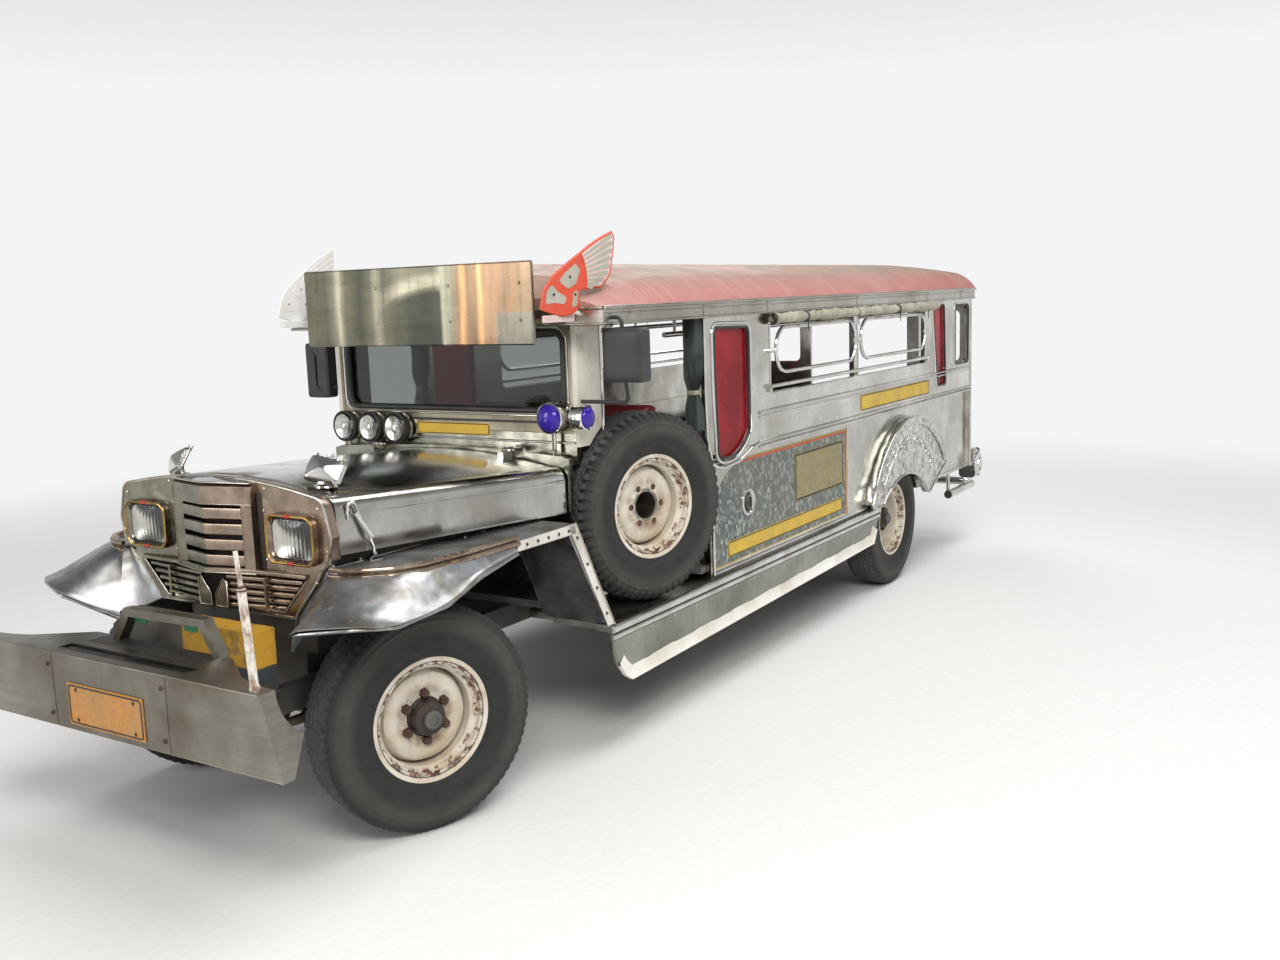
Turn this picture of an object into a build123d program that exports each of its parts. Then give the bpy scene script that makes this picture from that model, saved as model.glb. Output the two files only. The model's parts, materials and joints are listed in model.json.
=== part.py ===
from build123d import *
from math import cos, pi, radians, sin, sqrt
import os

# A long passenger jeepney: stainless body on a ladder frame, open rear entrance,
# open driver's side, spare wheel on the left side, front wheels steered to the right.
# Frame: X forward, Y to the vehicle's left, Z up, millimetres, ground at Z 0.
# Stations along X are measured from the front axle. save() moves everything so that
# X 0 is the middle of the overall length.

# Overall
BUMPER_FRONT = 836.0
TAIL_END = -5705.0
WHEELBASE = 4040.0
BODY_HALF = 849.0
LOWER_INSET = 24.0
WALL = 30.0
SHEET = 12.0
GAP = 0.3
CLEAR = 6.0
PLATE_SHEET = 3.0

# Wheels
TYRE_R = 403.5
TYRE_HALF = 102.5
RIM_R = 232.0
RIM_HALF = 84.0
BEAD_R = 203.0
DROP_R = 176.0
RIM_SHEET = 7.0
DISC_SHEET = 11.0
HUB_BORE_R = 70.0
STUD_PCD = 170.0
STUD_COUNT = 6
STUD_HOLE_R = 11.0
FRONT_DISC_OUT = 30.0
REAR_DISC_OUT = -58.0
DRUM_R = 150.0
SPINDLE_R = 24.0

# Front axle and steering
STEER_REST = 19.7
KINGPIN_Y = 517.5
KINGPIN_OFFSET = 95.0
KINGPIN_R = 12.0
ARM_LENGTH = 150.0
ARM_SHEET = 14.0
TIE_ROD_R = 10.0
AXLE_Z = TYRE_R

# Rear axle
REAR_TRACK_HALF = BODY_HALF - 115.0
REAR_TUBE_R = 45.0
BANJO_R = 140.0
BANJO_HALF = 78.0

# Ladder frame
RAIL_OUT = 325.0
RAIL_WIDE = 55.0
RAIL_LOW = 470.0
FLOOR_LOW = 560.0
FLOOR_TOP = 590.0
RAIL_FRONT = 560.0
RAIL_BACK = -5400.0
SPRING_WIDE = 56.0
SPRING_THICK = 34.0
SPRING_HALF = 560.0
EYE_R = 20.0
EYE_Z = RAIL_LOW - EYE_R - 10
REAR_SPRING_Y = 400.0

# Front face, hood and fenders
FACE_X = 340.0
FACE_SHEET = 40.0
FACE_TOP_HALF = 520.0
FACE_CORNER_Z = 1214.0
FACE_TOP_Z = 1268.0
LAMP_Y = 378.0
LAMP_Z = 1072.0
LAMP_WIDE = 232.0
LAMP_HIGH = 173.0
GRILLE_OUT = 205.0
GRILLE_POST = 55.0
GRILLE_LOW = 944.0
GRILLE_HIGH = 1208.0
GRILLE_PEAK_X = 408.0
FAN_TOP_HALF = 430.0
FAN_LOW_HALF = 310.0
FAN_LOW = 813.0
FAN_HIGH = 940.0
HOOD_FRONT = 290.0
HOOD_BACK = -846.0
HOOD_SWING = 14.0
HOOD_SHEET = 16.0
HINGE_Z = 1222.0
HINGE_Y = 362.0
PIN_R = 5.0
FENDER_TOP = 972.0
FENDER_HALF = BODY_HALF - 59.0
FENDER_BACK = -686.0
FENDER_FOOT = -846.0
FENDER_INNER = FENDER_HALF - 320.0
FENDER_WALL_LOW = 840.0

# Cowl and windscreen
COWL_FRONT = -856.0
COWL_HALF = 655.0
KICK_HALF = 480.0
POST_BACK = -1085.0
COWL_SHOULDER = 1196.0
SCREEN_FRONT = -916.0
SCREEN_BACK = -956.0
SCREEN_LOW = 1290.0
GLASS_LOW = 1382.0
GLASS_TOP = 1700.0
GLASS_HALF = COWL_HALF - 53.0

# Body sides, roof and rear
SIDE_FRONT = -1660.0
SIDE_BACK = -5500.0
BAND_LOW = 1729.0
BAND_TOP = 1795.0
BAND_HALF = BODY_HALF + 13.0
BAND_FRONT = -835.0
BAND_BACK = -5551.0
BELT_LOW = 1110.0
BELT_HIGH = 1255.0
WINDOW_FRONT = -2300.0
WINDOW_BACK = -4544.0
WINDOW_LOW = 1340.0
WINDOW_TOP = 1700.0
WINDOW_POST = -3390.0
ROOF_FRONT = -835.0
ROOF_BACK = -5579.0
ROOF_SHEET = 26.0
HEADER = 130.0
BOW_HALF = 20.0
BOWS = (-2100.0, -3100.0, -4100.0, -5200.0)
ROLL_R = 28.0
RAIL_R = 10.0
DOOR_HALF = 380.0
SILL_FRONT = -831.0
SILL_BACK = -3731.0
SILL_TOP = 534.0
SKIRT_LOW = 279.0
SKIRT_LOW_BACK = 331.0
STEP_IN = 540.0

# Seats
BENCH_TOP = 960.0
BENCH_IN = 440.0
CUSHION = 90.0
BENCH_SHEET = 12.0

# Bumper
BUMPER_TOP = 733.0
BUMPER_LOW = 479.0
BUMPER_HALF = 735.0
BUMPER_SHEET = 12.0
BUMPER_SLANT = 80.0
BUMPER_LEAN = 17.5
BEAM_DEEP = 60.0
BEAM_LOW = 560.0
BEAM_HIGH = 640.0

# Spare wheel: centre of its outer rim face, and its turn towards the front
SPARE_X = -1259.0
SPARE_Y = BODY_HALF - 46.0
SPARE_Z = 945.0
SPARE_TURN = 15.6
DRIVER_Y = SPARE_Y - 473.0

AXLE_X = -(BUMPER_FRONT + PLATE_SHEET + TAIL_END) / 2
REAR_X = -WHEELBASE
SIDE_LOW = SILL_TOP + GAP


def box(x, y, z):
    """Box between the low and high value along each axis."""
    spans = (x, y, z)
    size = [high - low for low, high in spans]
    middle = [(high + low) / 2 for low, high in spans]
    return Pos(*middle) * Box(*size)


def outline(axis, level, start, *steps):
    """Face across an axis. A step is the next corner, or (via, end) for an arc."""
    def lift(point):
        u, v = point
        return {"x": (level, u, v), "y": (u, level, v), "z": (u, v, level)}[axis]
    edges = []
    here = start
    for step in steps + (start,):
        if isinstance(step[0], tuple):
            via, end = step
            edges.append(ThreePointArc(lift(here), lift(via), lift(end)))
            here = end
        elif step != here:
            edges.append(Line(lift(here), lift(step)))
            here = step
    return make_face(edges)


def prism(axis, span, start, *steps):
    """The outline across an axis, extruded over a span along that axis."""
    low, high = span
    way = {"x": (1, 0, 0), "y": (0, 1, 0), "z": (0, 0, 1)}[axis]
    return extrude(outline(axis, low, start, *steps), amount=high - low, dir=way)


def rod(start, end, radius):
    """Round bar between two points."""
    run = Vector(*end) - Vector(*start)
    align = (Align.CENTER, Align.CENTER, Align.MIN)
    return Plane(origin=start, z_dir=run) * Cylinder(radius, run.length, align=align)


def pipe(points, radius, bend):
    """Round tube along corner points joined by bends of one radius."""
    path = FilletPolyline(*points, radius=bend)
    section = Plane(origin=path @ 0, z_dir=path % 0) * Circle(radius)
    return sweep(section, path)


def loop(x, z, y, radius, bend):
    """Closed eight-sided bar with rounded corners, standing across Y."""
    wide, high = x[1] - x[0], z[1] - z[0]
    plane = Plane(origin=((x[0] + x[1]) / 2, y, (z[0] + z[1]) / 2), x_dir=(1, 0, 0), z_dir=(0, -1, 0))
    path = (plane * RectangleRounded(wide, high, bend)).wire()
    section = Plane(origin=path @ 0, z_dir=path % 0) * RegularPolygon(radius, 8)
    return sweep(section, path)


def rounded_box(x, y, z, radius, axis):
    """Box whose four edges along an axis are rounded."""
    block = box(x, y, z)
    return fillet(block.edges().filter_by(axis), radius)


def sorted_pair(a, b):
    return (min(a, b), max(a, b))


def mirrored(part):
    return mirror(part, about=Plane.XZ)


def save(name, *parts):
    """Write one node. Its X stations move to the middle of the overall length."""
    solids = [solid for part in parts for solid in part.solids()]
    node = Compound(solids).moved(Location((AXLE_X, 0, 0)))
    export_step(node, f"parts/{name}.step")
    print(f"{name:22s} {len(solids):3d} solids {node.volume / 1e6:10.2f} litres")


# Wheels: built round the origin with the axle along Y and the outside at +Y


def tyre():
    half, tread = TYRE_HALF, TYRE_HALF - 34
    bead = RIM_HALF - RIM_SHEET - 1
    side = [(BEAD_R + GAP, bead), (RIM_R + 2, bead), (RIM_R + 4, RIM_HALF + 1),
            (TYRE_R - 95, half), (TYRE_R - 30, half - 9), (TYRE_R - 8, half - 20),
            (TYRE_R, tread)]
    corners = side + [(r, -y) for r, y in reversed(side)]
    return revolve(outline("x", 0, *[(y, r) for r, y in corners]), axis=Axis.Y)


def rim(disc_out, open_holes):
    """Barrel with both flanges and the disc, whose hub face lies at disc_out."""
    t = RIM_SHEET
    seat, drop = RIM_HALF - 30, RIM_HALF - 44
    outer = [(RIM_R, RIM_HALF), (RIM_R, RIM_HALF - t), (BEAD_R, RIM_HALF - t),
             (BEAD_R, seat), (DROP_R, drop)]
    inner = [(DROP_R - t, drop), (BEAD_R - t, seat + 2), (BEAD_R - t, RIM_HALF)]
    half_ring = outer + [(r, -y) for r, y in reversed(outer)]
    back = [(r, -y) for r, y in reversed(inner)]
    corners = half_ring + back + inner
    barrel = revolve(outline("x", 0, *[(y, r) for r, y in corners]), axis=Axis.Y)
    flat = STUD_PCD / 2 + 24
    lip = disc_out - 34 if disc_out > 0 else disc_out + 34
    d = DISC_SHEET
    profile = [(HUB_BORE_R, disc_out), (flat, disc_out), (DROP_R - t + 1, lip),
               (DROP_R - t + 1, lip - d), (flat, disc_out - d), (HUB_BORE_R, disc_out - d)]
    disc = revolve(outline("x", 0, *[(y, r) for r, y in profile]), axis=Axis.Y)
    if open_holes:
        for i in range(STUD_COUNT):
            a = 2 * pi * (i + 0.5) / STUD_COUNT
            x, z = STUD_PCD / 2 * cos(a), STUD_PCD / 2 * sin(a)
            disc = disc - rod((x, disc_out - 40, z), (x, disc_out + 40, z), STUD_HOLE_R)
    return barrel + disc


def hub(disc_out, drum_in, bore_to):
    """Hub flange, nose, cap and brake drum, bored for the spindle."""
    flange = rod((0, disc_out, 0), (0, disc_out + 14, 0), STUD_PCD / 2 + 22)
    nose = rod((0, disc_out + 14, 0), (0, disc_out + 48, 0), 46)
    cap = rod((0, disc_out + 48, 0), (0, disc_out + 66, 0), 34)
    drum = rod((0, drum_in, 0), (0, disc_out - DISC_SHEET, 0), DRUM_R)
    core = rod((0, disc_out - DISC_SHEET, 0), (0, disc_out, 0), HUB_BORE_R)
    part = flange + nose + cap + drum + core
    bore = rod((0, drum_in - 1, 0), (0, bore_to, 0), SPINDLE_R + GAP)
    return part - bore


def wheel_nodes(tag, place, disc_out, drum_in, bore_to):
    wheel = rim(disc_out, False) + hub(disc_out, drum_in, bore_to)
    save("tyre_" + tag, place * tyre())
    save("wheel_" + tag, place * wheel)


def front_place(side):
    """Place of a front wheel, turned about its kingpin at rest."""
    turn = -STEER_REST if side > 0 else 180 - STEER_REST
    pivot = Location((0, side * KINGPIN_Y, AXLE_Z), (0, 0, turn))
    return pivot * Pos(0, KINGPIN_OFFSET, 0)


def rear_place(side):
    return Location((REAR_X, side * REAR_TRACK_HALF, AXLE_Z), (0, 0, 0 if side > 0 else 180))


def knuckle(side):
    """Yoke, kingpin, spindle, backing plate and steering arm of one front wheel."""
    low, high = AXLE_Z - 67, AXLE_Z + 58
    eye_low, eye_high = AXLE_Z - 30, AXLE_Z + 28
    body = rod((0, 0, low), (0, 0, high), 28) + box((-28, 28), (0, 50), (low, high))
    body = body - rod((0, 0, eye_low), (0, 0, eye_high), 37)
    body = body - box((-40, 40), (-40, 30), (eye_low, eye_high))
    body = body + rod((0, 0, low), (0, 0, high), KINGPIN_R)
    spindle_end = KINGPIN_OFFSET + FRONT_DISC_OUT + 20
    body = body + rod((0, 45, AXLE_Z), (0, spindle_end, AXLE_Z), SPINDLE_R)
    body = body + rod((0, 50, AXLE_Z), (0, 55, AXLE_Z), DRUM_R - 6)
    arm_top = low + ARM_SHEET
    arm = box((-ARM_LENGTH, 0), (-14, 14), (low, arm_top))
    tip = rod((-ARM_LENGTH, 0, low), (-ARM_LENGTH, 0, arm_top), 18)
    stud = rod((-ARM_LENGTH, 0, arm_top), (-ARM_LENGTH, 0, arm_top + 26), 9)
    whole = body + arm + tip + stud
    if side < 0:
        whole = mirrored(whole)
    return Location((0, side * KINGPIN_Y, 0), (0, 0, -STEER_REST)) * whole


def tie_rod():
    """Track rod between the two steering arms, with an eye round each stud."""
    low = AXLE_Z - 67 + ARM_SHEET + 0.5
    turn = radians(STEER_REST)
    x, shift = -ARM_LENGTH * cos(turn), ARM_LENGTH * sin(turn)
    ends = [KINGPIN_Y + shift, -KINGPIN_Y + shift]
    middle = low + TIE_ROD_R
    bar = rod((x, ends[1] + 12, middle), (x, ends[0] - 12, middle), TIE_ROD_R - 1.5)
    for y in ends:
        bar = bar + rod((x, y, low), (x, y, low + 2 * TIE_ROD_R), 19)
    for y in ends:
        bar = bar - rod((x, y, low - 1), (x, y, low + 2 * TIE_ROD_R + 1), 9.5)
    return bar


def front_axle():
    """Dropped I-beam between the kingpins."""
    eye_low, eye_high = AXLE_Z - 29, AXLE_Z + 27
    drop_low, drop_high = AXLE_Z - 95, AXLE_Z - 30
    half = KINGPIN_Y
    beam = prism("x", (-22, 22), (-half, eye_low), (-half + 60, eye_low), (-half + 150, drop_low),
                 (half - 150, drop_low), (half - 60, eye_low), (half, eye_low), (half, eye_high),
                 (half - 70, eye_high), (half - 160, drop_high), (-half + 160, drop_high),
                 (-half + 70, eye_high), (-half, eye_high))
    for side in (1, -1):
        beam = beam + rod((0, side * half, eye_low), (0, side * half, eye_high), 30)
    for side in (1, -1):
        beam = beam - rod((0, side * half, eye_low - 1), (0, side * half, eye_high + 1),
                          KINGPIN_R + 0.5)
        web = box((9, 23), (-half + 165, half - 165), (drop_low + 12, drop_high - 12))
        beam = beam - (web if side > 0 else Rot(0, 0, 180) * web)
    pad_y = RAIL_OUT - RAIL_WIDE / 2
    for side in (1, -1):
        y = side * pad_y
        beam = beam + box((-60, 60), (y - 28, y + 28), (drop_high - 10, AXLE_Z + 6))
    return beam


def rear_axle():
    """Tubes, banjo and backing plates of the driven axle."""
    end = REAR_TRACK_HALF + REAR_DISC_OUT - 44
    part = rod((REAR_X, -end, AXLE_Z), (REAR_X, end, AXLE_Z), REAR_TUBE_R)
    banjo = rod((REAR_X - BANJO_HALF, 0, AXLE_Z), (REAR_X + BANJO_HALF, 0, AXLE_Z), BANJO_R)
    banjo = chamfer(banjo.edges().filter_by(GeomType.CIRCLE), BANJO_HALF * 0.55)
    part = part + banjo + rod((REAR_X, 0, AXLE_Z), (REAR_X + BANJO_R, 0, AXLE_Z), BANJO_R * 0.45)
    for side in (1, -1):
        plate = rod((REAR_X, side * (end - 8), AXLE_Z), (REAR_X, side * end, AXLE_Z), DRUM_R - 6)
        stub = rod((REAR_X, side * end, AXLE_Z), (REAR_X, side * (end + 60), AXLE_Z), SPINDLE_R)
        pad = box((REAR_X - 40, REAR_X + 40),
                  (side * REAR_SPRING_Y - 30, side * REAR_SPRING_Y + 30),
                  (AXLE_Z, AXLE_Z + REAR_TUBE_R + 4))
        part = part + plate + stub + pad
    return part


def leaf_spring(x, y, pad_z):
    """Arched pack of leaves with an eye at each end."""
    eye_z = EYE_Z
    half = SPRING_HALF
    low, high = pad_z, pad_z + SPRING_THICK
    span = (y - SPRING_WIDE / 2, y + SPRING_WIDE / 2)
    drop = eye_z - low
    main = prism("y", span, (x - half, eye_z - 8), ((x, low), (x + half, eye_z - 8)),
                 (x + half, eye_z + 8), ((x, low + 16), (x - half, eye_z + 8)))
    short = prism("y", span, (x - half * 0.5, low + 16 + drop * 0.25),
                  ((x, low + 14), (x + half * 0.5, low + 16 + drop * 0.25)),
                  (x + half * 0.45, low + 30), ((x, high), (x - half * 0.45, low + 30)))
    pack = main + short
    for end in (x - half, x + half):
        pack = pack + rod((end, span[0], eye_z), (end, span[1], eye_z), EYE_R)
    for end in (x - half, x + half):
        pack = pack - rod((end, span[0] - 1, eye_z), (end, span[1] + 1, eye_z), 10)
    return pack


def spring_seats():
    """Spring places: station, side distance and pad height, one row for each axle."""
    front_y = RAIL_OUT - RAIL_WIDE / 2
    return [(0.0, front_y, AXLE_Z + 6 + GAP),
            (REAR_X, REAR_SPRING_Y, AXLE_Z + REAR_TUBE_R + 4 + GAP)]


def leaf_springs():
    return [leaf_spring(x, side * y, pad) for x, y, pad in spring_seats() for side in (1, -1)]


def chassis():
    """Two rails with their spring hangers, cross members and the front box member."""
    pieces = []
    inner = RAIL_OUT - RAIL_WIDE
    for side in (1, -1):
        rail = box((RAIL_BACK, RAIL_FRONT), sorted_pair(side * inner, side * RAIL_OUT),
                   (RAIL_LOW, FLOOR_LOW - GAP))
        for x, y, _ in spring_seats():
            for end in (x - SPRING_HALF, x + SPRING_HALF):
                rail = rail + hanger(end, side * y)
        pieces.append(rail)
    reach = inner - GAP
    for x in (480.0, -1500.0, -2600.0, REAR_X + 490, REAR_X - 460, RAIL_BACK + 30):
        pieces.append(box((x - 30, x + 30), (-reach, reach), (RAIL_LOW + 5, RAIL_LOW + 75)))
    front = box((430, 520), (-350, 350), (FLOOR_LOW, 790))
    for side in (1, -1):
        front = front + box((519, BUMPER_FRONT - BUMPER_SHEET - BEAM_DEEP - GAP),
                            sorted_pair(side * 300, side * 345), (BEAM_LOW, BEAM_HIGH))
    return pieces + [front]


def hanger(x, y):
    """Two cheeks, a top plate and a pin round one spring eye, under or beside the rail."""
    half, cheek = SPRING_WIDE / 2 + 2, 8.0
    low, top = EYE_Z - EYE_R - 2, EYE_Z + EYE_R + 2
    part = rod((x, y - half - cheek, EYE_Z), (x, y + half + cheek, EYE_Z), 9)
    for side in (1, -1):
        span = sorted_pair(y + side * half, y + side * (half + cheek))
        part = part + box((x - 26, x + 26), span, (low, top + cheek))
    reach = (y - half - cheek, y + half + cheek)
    if abs(y) - half - cheek > RAIL_OUT:
        way = 1 if y > 0 else -1
        reach = sorted_pair(way * (RAIL_OUT - 1), way * (abs(y) + half + cheek))
    return part + box((x - 26, x + 26), reach, (top, RAIL_LOW + 2))


def engine():
    block = box((-620, 110), (-190, 190), (RAIL_LOW - 20, 1010))
    radiator = box((170, 230), (-330, 330), (640, 1170))
    feet = [box((x - 40, x + 40), (-(RAIL_OUT - RAIL_WIDE), RAIL_OUT - RAIL_WIDE),
                (RAIL_LOW + 10, RAIL_LOW + 50)) for x in (-60.0, -540.0)]
    legs = box((170, 230), (-(RAIL_OUT - RAIL_WIDE), RAIL_OUT - RAIL_WIDE), (RAIL_LOW + 10, 640))
    return [block + feet[0] + feet[1], radiator + legs]


def driveline():
    """Gearbox and propeller shaft to the rear axle's nose."""
    gearbox = prism("x", (-1180, -620 - GAP), (-130, 390), (130, 390), (130, 500), (80, 552),
                    (-80, 552), (-130, 500))
    nose = (REAR_X + BANJO_R + GAP, 0, AXLE_Z + 10)
    shaft = rod((-1180, 0, 430), nose, 38)
    return gearbox + shaft


def exhaust():
    """Down pipe beside the engine block, muffler on its hanger and tail pipe."""
    y, z, r, muffler_r = -190.3 - 26, 395.0, 26.0, 70.0
    pipes = rod((-440, y, z), (-440, y, 760), r) + rod((-440 + r, y, z), (REAR_X + 220, y, z), r)
    muffler = rod((-2200, y, z), (-2900, y, z), muffler_r)
    strap = rod((-2600, y, z + muffler_r - 4), (-2600, y, RAIL_LOW + 5 - GAP), 8)
    return pipes + muffler + strap


# Front end


def face_panel():
    """Pressed panel round the grille, with the lamp openings and tapering flanks."""
    span = (FACE_X - FACE_SHEET, FACE_X)
    half = FACE_TOP_HALF
    panel = prism("x", span, (-half - 10, FACE_CORNER_Z - 40), ((-half + 6, FACE_CORNER_Z - 6),
                  (-half + 40, FACE_CORNER_Z + 8)), ((0, FACE_TOP_Z), (half - 40, FACE_CORNER_Z + 8)),
                  ((half - 6, FACE_CORNER_Z - 6), (half + 10, FACE_CORNER_Z - 40)),
                  (551, LAMP_Z + 16), (539, 1013), (FAN_LOW_HALF + 40, FAN_LOW - 18),
                  (-FAN_LOW_HALF - 40, FAN_LOW - 18), (-539, 1013), (-551, LAMP_Z + 16))
    inner = GRILLE_OUT - 20
    panel = panel - box((span[0] - 1, span[1] + 1), (-inner, inner), (GRILLE_LOW - 20, GRILLE_HIGH))
    panel = panel - prism("x", (span[0] - 1, span[1] + 1), (-FAN_TOP_HALF, FAN_HIGH),
                          (-FAN_LOW_HALF, FAN_LOW), (FAN_LOW_HALF, FAN_LOW),
                          (FAN_TOP_HALF, FAN_HIGH))
    for side in (1, -1):
        panel = panel - lamp_block(side, LAMP_WIDE - 28, LAMP_HIGH - 28, 60,
                                   (span[0] - 1, span[1] + 1))
    return panel


def lamp_block(side, wide, high, radius, span):
    y = side * LAMP_Y
    return rounded_box(span, (y - wide / 2, y + wide / 2), (LAMP_Z - high / 2, LAMP_Z + high / 2),
                       min(radius, high / 2 - 1) * 0.5, Axis.X)


def head_lamps():
    lamps = []
    for side in (1, -1):
        ring = lamp_block(side, LAMP_WIDE, LAMP_HIGH, 90, (FACE_X + GAP, FACE_X + 26))
        ring = ring - lamp_block(side, LAMP_WIDE - 40, LAMP_HIGH - 40, 70, (FACE_X, FACE_X + 30))
        lens = lamp_block(side, LAMP_WIDE - 40.6, LAMP_HIGH - 40.6, 70,
                          (FACE_X - 60, FACE_X + 14))
        lamps += [ring, lens]
    return lamps


def vee_bar(level, high, half, start_x, peak_x, thick):
    """Bar bent to a vee in plan, running from one side over the peak to the other."""
    return prism("z", (level, level + high), (start_x, -half), (peak_x, 0), (start_x, half),
                 (start_x - thick, half), (peak_x - thick, 0), (start_x - thick, -half))


def grille():
    """Vee grille of wide slats between posts, and the fan of fine bars below it."""
    base = FACE_X + GAP
    bars = vee_bar(GRILLE_HIGH - 30, 68, GRILLE_OUT, base + 22, GRILLE_PEAK_X, 22)
    bars = bars + vee_bar(GRILLE_LOW, 16, GRILLE_OUT, base + 22, GRILLE_PEAK_X + 4, 22)
    pitch = (GRILLE_HIGH - 30 - GRILLE_LOW - 16) / 5
    for i in range(4):
        level = GRILLE_LOW + 16 + pitch * (i + 0.75)
        bars = bars + vee_bar(level, pitch * 0.62, GRILLE_OUT - 6, base + 14,
                              GRILLE_PEAK_X - 6, 14)
    for side in (1, -1):
        low, high = sorted_pair(side * (GRILLE_OUT - GRILLE_POST), side * GRILLE_OUT)
        bars = bars + box((base, base + 24), (low, high), (GRILLE_LOW, GRILLE_HIGH + 20))
    fan = []
    fan_pitch = (GRILLE_LOW - 12 - FAN_LOW) / 5
    for side in (1, -1):
        group = None
        for i in range(5):
            level = FAN_LOW + 8 + fan_pitch * i
            share = (level - FAN_LOW) / (FAN_HIGH - FAN_LOW)
            half = FAN_LOW_HALF + (FAN_TOP_HALF - FAN_LOW_HALF) * share - 2 * GAP
            bar = prism("z", (level, level + 11), (FACE_X - 14, side * half),
                        (FACE_X + 44, side * 62), (FACE_X + 26, side * 62),
                        (FACE_X - 30, side * half))
            group = bar if group is None else group + bar
        for y_in, y_out, x in ((62, 72, FACE_X + 36), (250, 262, FACE_X - 2)):
            low, high = sorted_pair(side * y_in, side * y_out)
            group = group + box((x - 28, x - 8), (low, high), (FAN_LOW + 8, GRILLE_LOW - 18))
        plate = prism("x", (FACE_X + 28, FACE_X + 38), (side * 10, FAN_LOW + 4),
                      (side * 72, FAN_LOW + 4), (side * 72, GRILLE_LOW - 40),
                      (side * 55, GRILLE_LOW - 30))
        group = group + plate
        fan.append(group)
    return [bars] + fan


def hood_section(x, half, corner, top, low):
    return outline("x", x, (-half, low), (-half, corner - 50),
                   ((-half + 14, corner - 12), (-half + 60, corner)),
                   ((0, top), (half - 60, corner)),
                   ((half - 14, corner - 12), (half, corner - 50)), (half, low))


def hood():
    """Crowned lid with deep sides, narrow in front, open underneath."""
    t = HOOD_SHEET
    front = (HOOD_FRONT, 520.0, 1214.0, 1268.0, 1017.0)
    back = (HOOD_BACK, 640.0, 1158.0, 1216.0, 975.0)
    outer = loft([hood_section(*back), hood_section(*front)], ruled=True)
    inner_back = hood_section(HOOD_BACK - 1, 640.0 - t, 1158.0 - t, 1216.0 - t, 900.0)
    inner_front = hood_section(HOOD_FRONT + 1, 520.0 - t, 1214.0 - t, 1268.0 - t, 900.0)
    lid = outer - loft([inner_back, inner_front], ruled=True)
    lean = prism("y", (-front[1] - 20, front[1] + 20), (HOOD_FRONT, front[3] + 1),
                 (HOOD_FRONT - HOOD_SWING, front[4] - 1), (HOOD_FRONT + 2, front[4] - 1),
                 (HOOD_FRONT + 2, front[3] + 1))
    lid = lid - lean
    for side in (1, -1):
        y = side * HINGE_Y
        eye = rod((HOOD_BACK, y - 14, HINGE_Z), (HOOD_BACK, y + 14, HINGE_Z), 9)
        strap = box((HOOD_BACK - 6, HOOD_BACK + 60), (y - 14, y + 14), (1190, HINGE_Z - 4))
        lid = lid + strap + eye
        lid = lid - rod((HOOD_BACK, y - 15, HINGE_Z), (HOOD_BACK, y + 15, HINGE_Z), PIN_R + GAP)
        foot = rod((190, side * 385, 1212), (190, side * 385, 1264), 16)
        plate = rounded_box((-9, 9), (-62, 62), (-44, 44), 40, Axis.X)
        lid = lid + foot + Location((190, side * 385, 1284), (0, -35, side * 25)) * plate
    return lid


def fender_strip(a, b, thick):
    """Thin quadrilateral from a point on the shelf edge to a point on the lip."""
    ax, ay, az = a
    bx, by, bz = b
    corners = [(ax, ay, az), (bx, by, bz), (bx, by, bz - thick), (ax, ay, az - thick)]
    return make_face(Polyline(*corners, close=True))


# Edge of the fender: shelf X, shelf Y, lip X, lip Y, lip Z, each Y from FENDER_HALF
FLARE = [(x, FENDER_HALF + y, lip_x, FENDER_HALF + lip_y, lip_z) for x, y, lip_x, lip_y, lip_z in (
    (-330.0, 0.0, -300.0, 22.0, 936.0),
    (-60.0, -2.0, -60.0, 48.0, 905.0),
    (150.0, -20.0, 150.0, 78.0, 858.0),
    (255.0, -65.0, 400.0, 82.0, 846.0),
    (315.0, -135.0, 520.0, 0.0, 858.0),
    (345.0, -200.0, 575.0, -180.0, 836.0),
    (345.0, -245.0, 450.0, -335.0, 735.0))]


def front_fender():
    """Left fender: shelf, inner wall, flared lip, rear flange and the apron to the sill."""
    top, t = FENDER_TOP, SHEET
    half, back = FENDER_HALF, FENDER_BACK
    front = FACE_X - FACE_SHEET - GAP
    edge_points = [(sx, sy) for sx, sy, _, _, _ in FLARE]
    shelf = prism("z", (top - t, top), (back, FENDER_INNER), (back, half), *edge_points,
                  (front, edge_points[-1][1]), (front, FENDER_INNER))
    rows = [fender_strip((sx, sy, top), (lx, ly, lz), t) for sx, sy, lx, ly, lz in FLARE]
    part = shelf
    for one, two in zip(rows, rows[1:]):
        part = part + loft([one, two], ruled=True)
    part = part + box((back, front), (FENDER_INNER, FENDER_INNER + t), (FENDER_WALL_LOW, top))
    foot_z = SILL_TOP + GAP
    run = (back - FENDER_FOOT) / (top - foot_z)
    apron = prism("y", (FENDER_INNER + 40, BODY_HALF - 8), (back, top), (FENDER_FOOT, foot_z),
                  (FENDER_FOOT + t * 1.2, foot_z), (back + t * 1.2, top))
    slope = prism("x", (FENDER_FOOT - 5, -299), (half - t, top + 1), (half, top + 1),
                  (BODY_HALF, foot_z - 1), (BODY_HALF - t, foot_z - 1))
    edge = prism("x", (FENDER_FOOT - 5, back + 30), (FENDER_INNER, top + 1), (half - 1, top + 1),
                 (BODY_HALF - 1, foot_z - 1), (FENDER_INNER, foot_z - 1))
    flange = prism("y", (half - t, BODY_HALF), (back - 4, top), (FENDER_FOOT - 4, foot_z),
                   (FENDER_FOOT + 42, foot_z), (back + 44 - run * 46, top - 46),
                   (-300, top - 40), (-300, top)) & slope
    return part + (apron & edge) + flange


# Cowl and windscreen


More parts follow.
